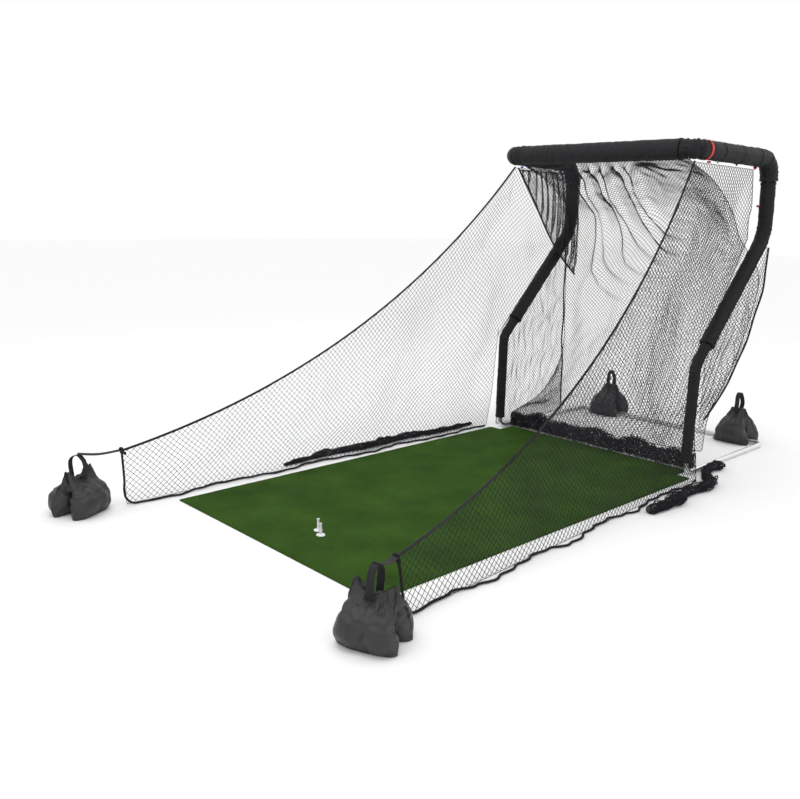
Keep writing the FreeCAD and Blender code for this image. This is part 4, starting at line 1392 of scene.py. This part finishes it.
def tied_knot(centre, size, seed):
    """An overhand knot pulled tight, with two short tails."""
    def line(share):
        turn = math.tau * share
        return Vector((math.sin(turn) + 2 * math.sin(2 * turn), math.cos(turn) - 2 * math.cos(2 * turn),
                       -math.sin(3 * turn))) * (size * 0.30)

    def place(along, around):
        here, ahead = line(along), line(along + 0.01) - line(along - 0.01)
        side = ahead.cross(Vector((0.3, 0.2, 1))).normalized()
        up = ahead.normalized().cross(side)
        angle = math.tau * around
        arm = (side * math.cos(angle) + up * math.sin(angle)) * size * 0.30
        return centre + Matrix.Rotation(seed * 1.3, 3, "X") @ (here + arm)

    bm = mend_seam(mapped_grid(42, 7, place))
    mesh = bpy.data.meshes.new("knot")
    bm.to_mesh(mesh)
    bm.free()
    return mesh


# ---------------------------------------------------------------- stage
class CHIPNET_OT_stage(bpy.types.Operator):
    """Set the floor, the soft light and the camera"""

    bl_idname = "chip_net.stage"
    bl_label = "Stage"

    CAMERA_AT = (3.607, -5.404, 1.777)
    TURN, TILT, ROLL = 0.8122, 0.2189, 0.0237
    LENS = 37.85

    def execute(self, context):
        scene = context.scene
        scene.view_settings.view_transform = "Standard"
        self.make_floor()
        self.make_light(scene)
        self.make_camera(scene)
        return {"FINISHED"}

    def make_floor(self):
        bm = bmesh.new()
        bmesh.ops.create_grid(bm, x_segments=1, y_segments=1, size=40)
        mesh = bpy.data.meshes.new("studio_floor")
        bm.to_mesh(mesh)
        bm.free()
        floor = bpy.data.objects.new("studio_floor", mesh)
        bpy.context.collection.objects.link(floor)
        finish = Finish("floor_paint", 0.8, Base_Color=(0.965, 0.965, 0.965, 1), Specular_IOR_Level=0.1)
        mesh.materials.append(finish.material)

    def make_light(self, scene):
        world = bpy.data.worlds.new("studio_sky")
        world.use_nodes = True
        backdrop = world.node_tree.nodes["Background"]
        backdrop.inputs["Color"].default_value = (1, 1, 1, 1)
        backdrop.inputs["Strength"].default_value = 1.0
        scene.world = world
        for name, place, size, energy in (("key_light", (1.0, -4.0, 5.0), 3.0, 60),
                                          ("fill_light", (-5.0, -1.0, 4.5), 3.0, 25),
                                          ("back_light", (3.0, 5.0, 4.0), 3.0, 25)):
            lamp = bpy.data.lights.new(name, "AREA")
            lamp.energy = energy
            lamp.size = size
            light = bpy.data.objects.new(name, lamp)
            bpy.context.collection.objects.link(light)
            light.location = place
            aim = Vector((0, -0.5, 0.6)) - light.location
            light.rotation_euler = aim.to_track_quat("-Z", "Y").to_euler()

    def make_camera(self, scene):
        lens = bpy.data.cameras.new("camera")
        lens.sensor_fit = "HORIZONTAL"
        lens.sensor_width = 36
        lens.lens = self.LENS
        lens.clip_end = 100
        camera = bpy.data.objects.new("camera", lens)
        bpy.context.collection.objects.link(camera)
        forward = Vector((-math.sin(self.TURN) * math.cos(self.TILT),
                          math.cos(self.TURN) * math.cos(self.TILT), -math.sin(self.TILT)))
        right = Vector((math.cos(self.TURN), math.sin(self.TURN), 0))
        up = right.cross(forward)
        level_right = right * math.cos(self.ROLL) + up * math.sin(self.ROLL)
        level_up = up * math.cos(self.ROLL) - right * math.sin(self.ROLL)
        turn = Matrix((level_right, level_up, -forward)).transposed().to_4x4()
        camera.matrix_world = Matrix.Translation(self.CAMERA_AT) @ turn
        scene.camera = camera


# ---------------------------------------------------------------- panel and registration
STEPS = (CHIPNET_OT_stage, CHIPNET_OT_frame_finishes, CHIPNET_OT_ropes, CHIPNET_OT_padding,
         CHIPNET_OT_turf, CHIPNET_OT_barriers, CHIPNET_OT_rear_net, CHIPNET_OT_side_nets,
         CHIPNET_OT_bundles, CHIPNET_OT_sandbags, CHIPNET_OT_ties)
GROUPS = {"chip_net": NetSettings, "chip_net_pads": PadSettings, "chip_net_bags": BagSettings,
          "chip_net_colours": ColourSettings}


class CHIPNET_PT_panel(bpy.types.Panel):
    """Lists the settings and the steps"""

    bl_label = "Golf Chipping Net"
    bl_space_type = "VIEW_3D"
    bl_region_type = "UI"
    bl_category = "Chipping Net"

    def draw(self, context):
        for group in GROUPS:
            values = getattr(context.scene, group)
            box = self.layout.box()
            for name in values.__annotations__:
                box.prop(values, name)
        for step in STEPS:
            self.layout.operator(step.bl_idname)


def register():
    for cls in (*GROUPS.values(), *STEPS, CHIPNET_PT_panel):
        bpy.utils.register_class(cls)
    for name, group in GROUPS.items():
        setattr(bpy.types.Scene, name, PointerProperty(type=group))


def unregister():
    for name in GROUPS:
        delattr(bpy.types.Scene, name)
    for cls in (CHIPNET_PT_panel, *reversed(STEPS), *GROUPS.values()):
        bpy.utils.unregister_class(cls)


def main():
    register()
    make_materials(bpy.context.scene.chip_net_colours)
    for step in STEPS:
        family, name = step.bl_idname.split(".")
        getattr(getattr(bpy.ops, family), name)()


if __name__ == "__main__":
    main()
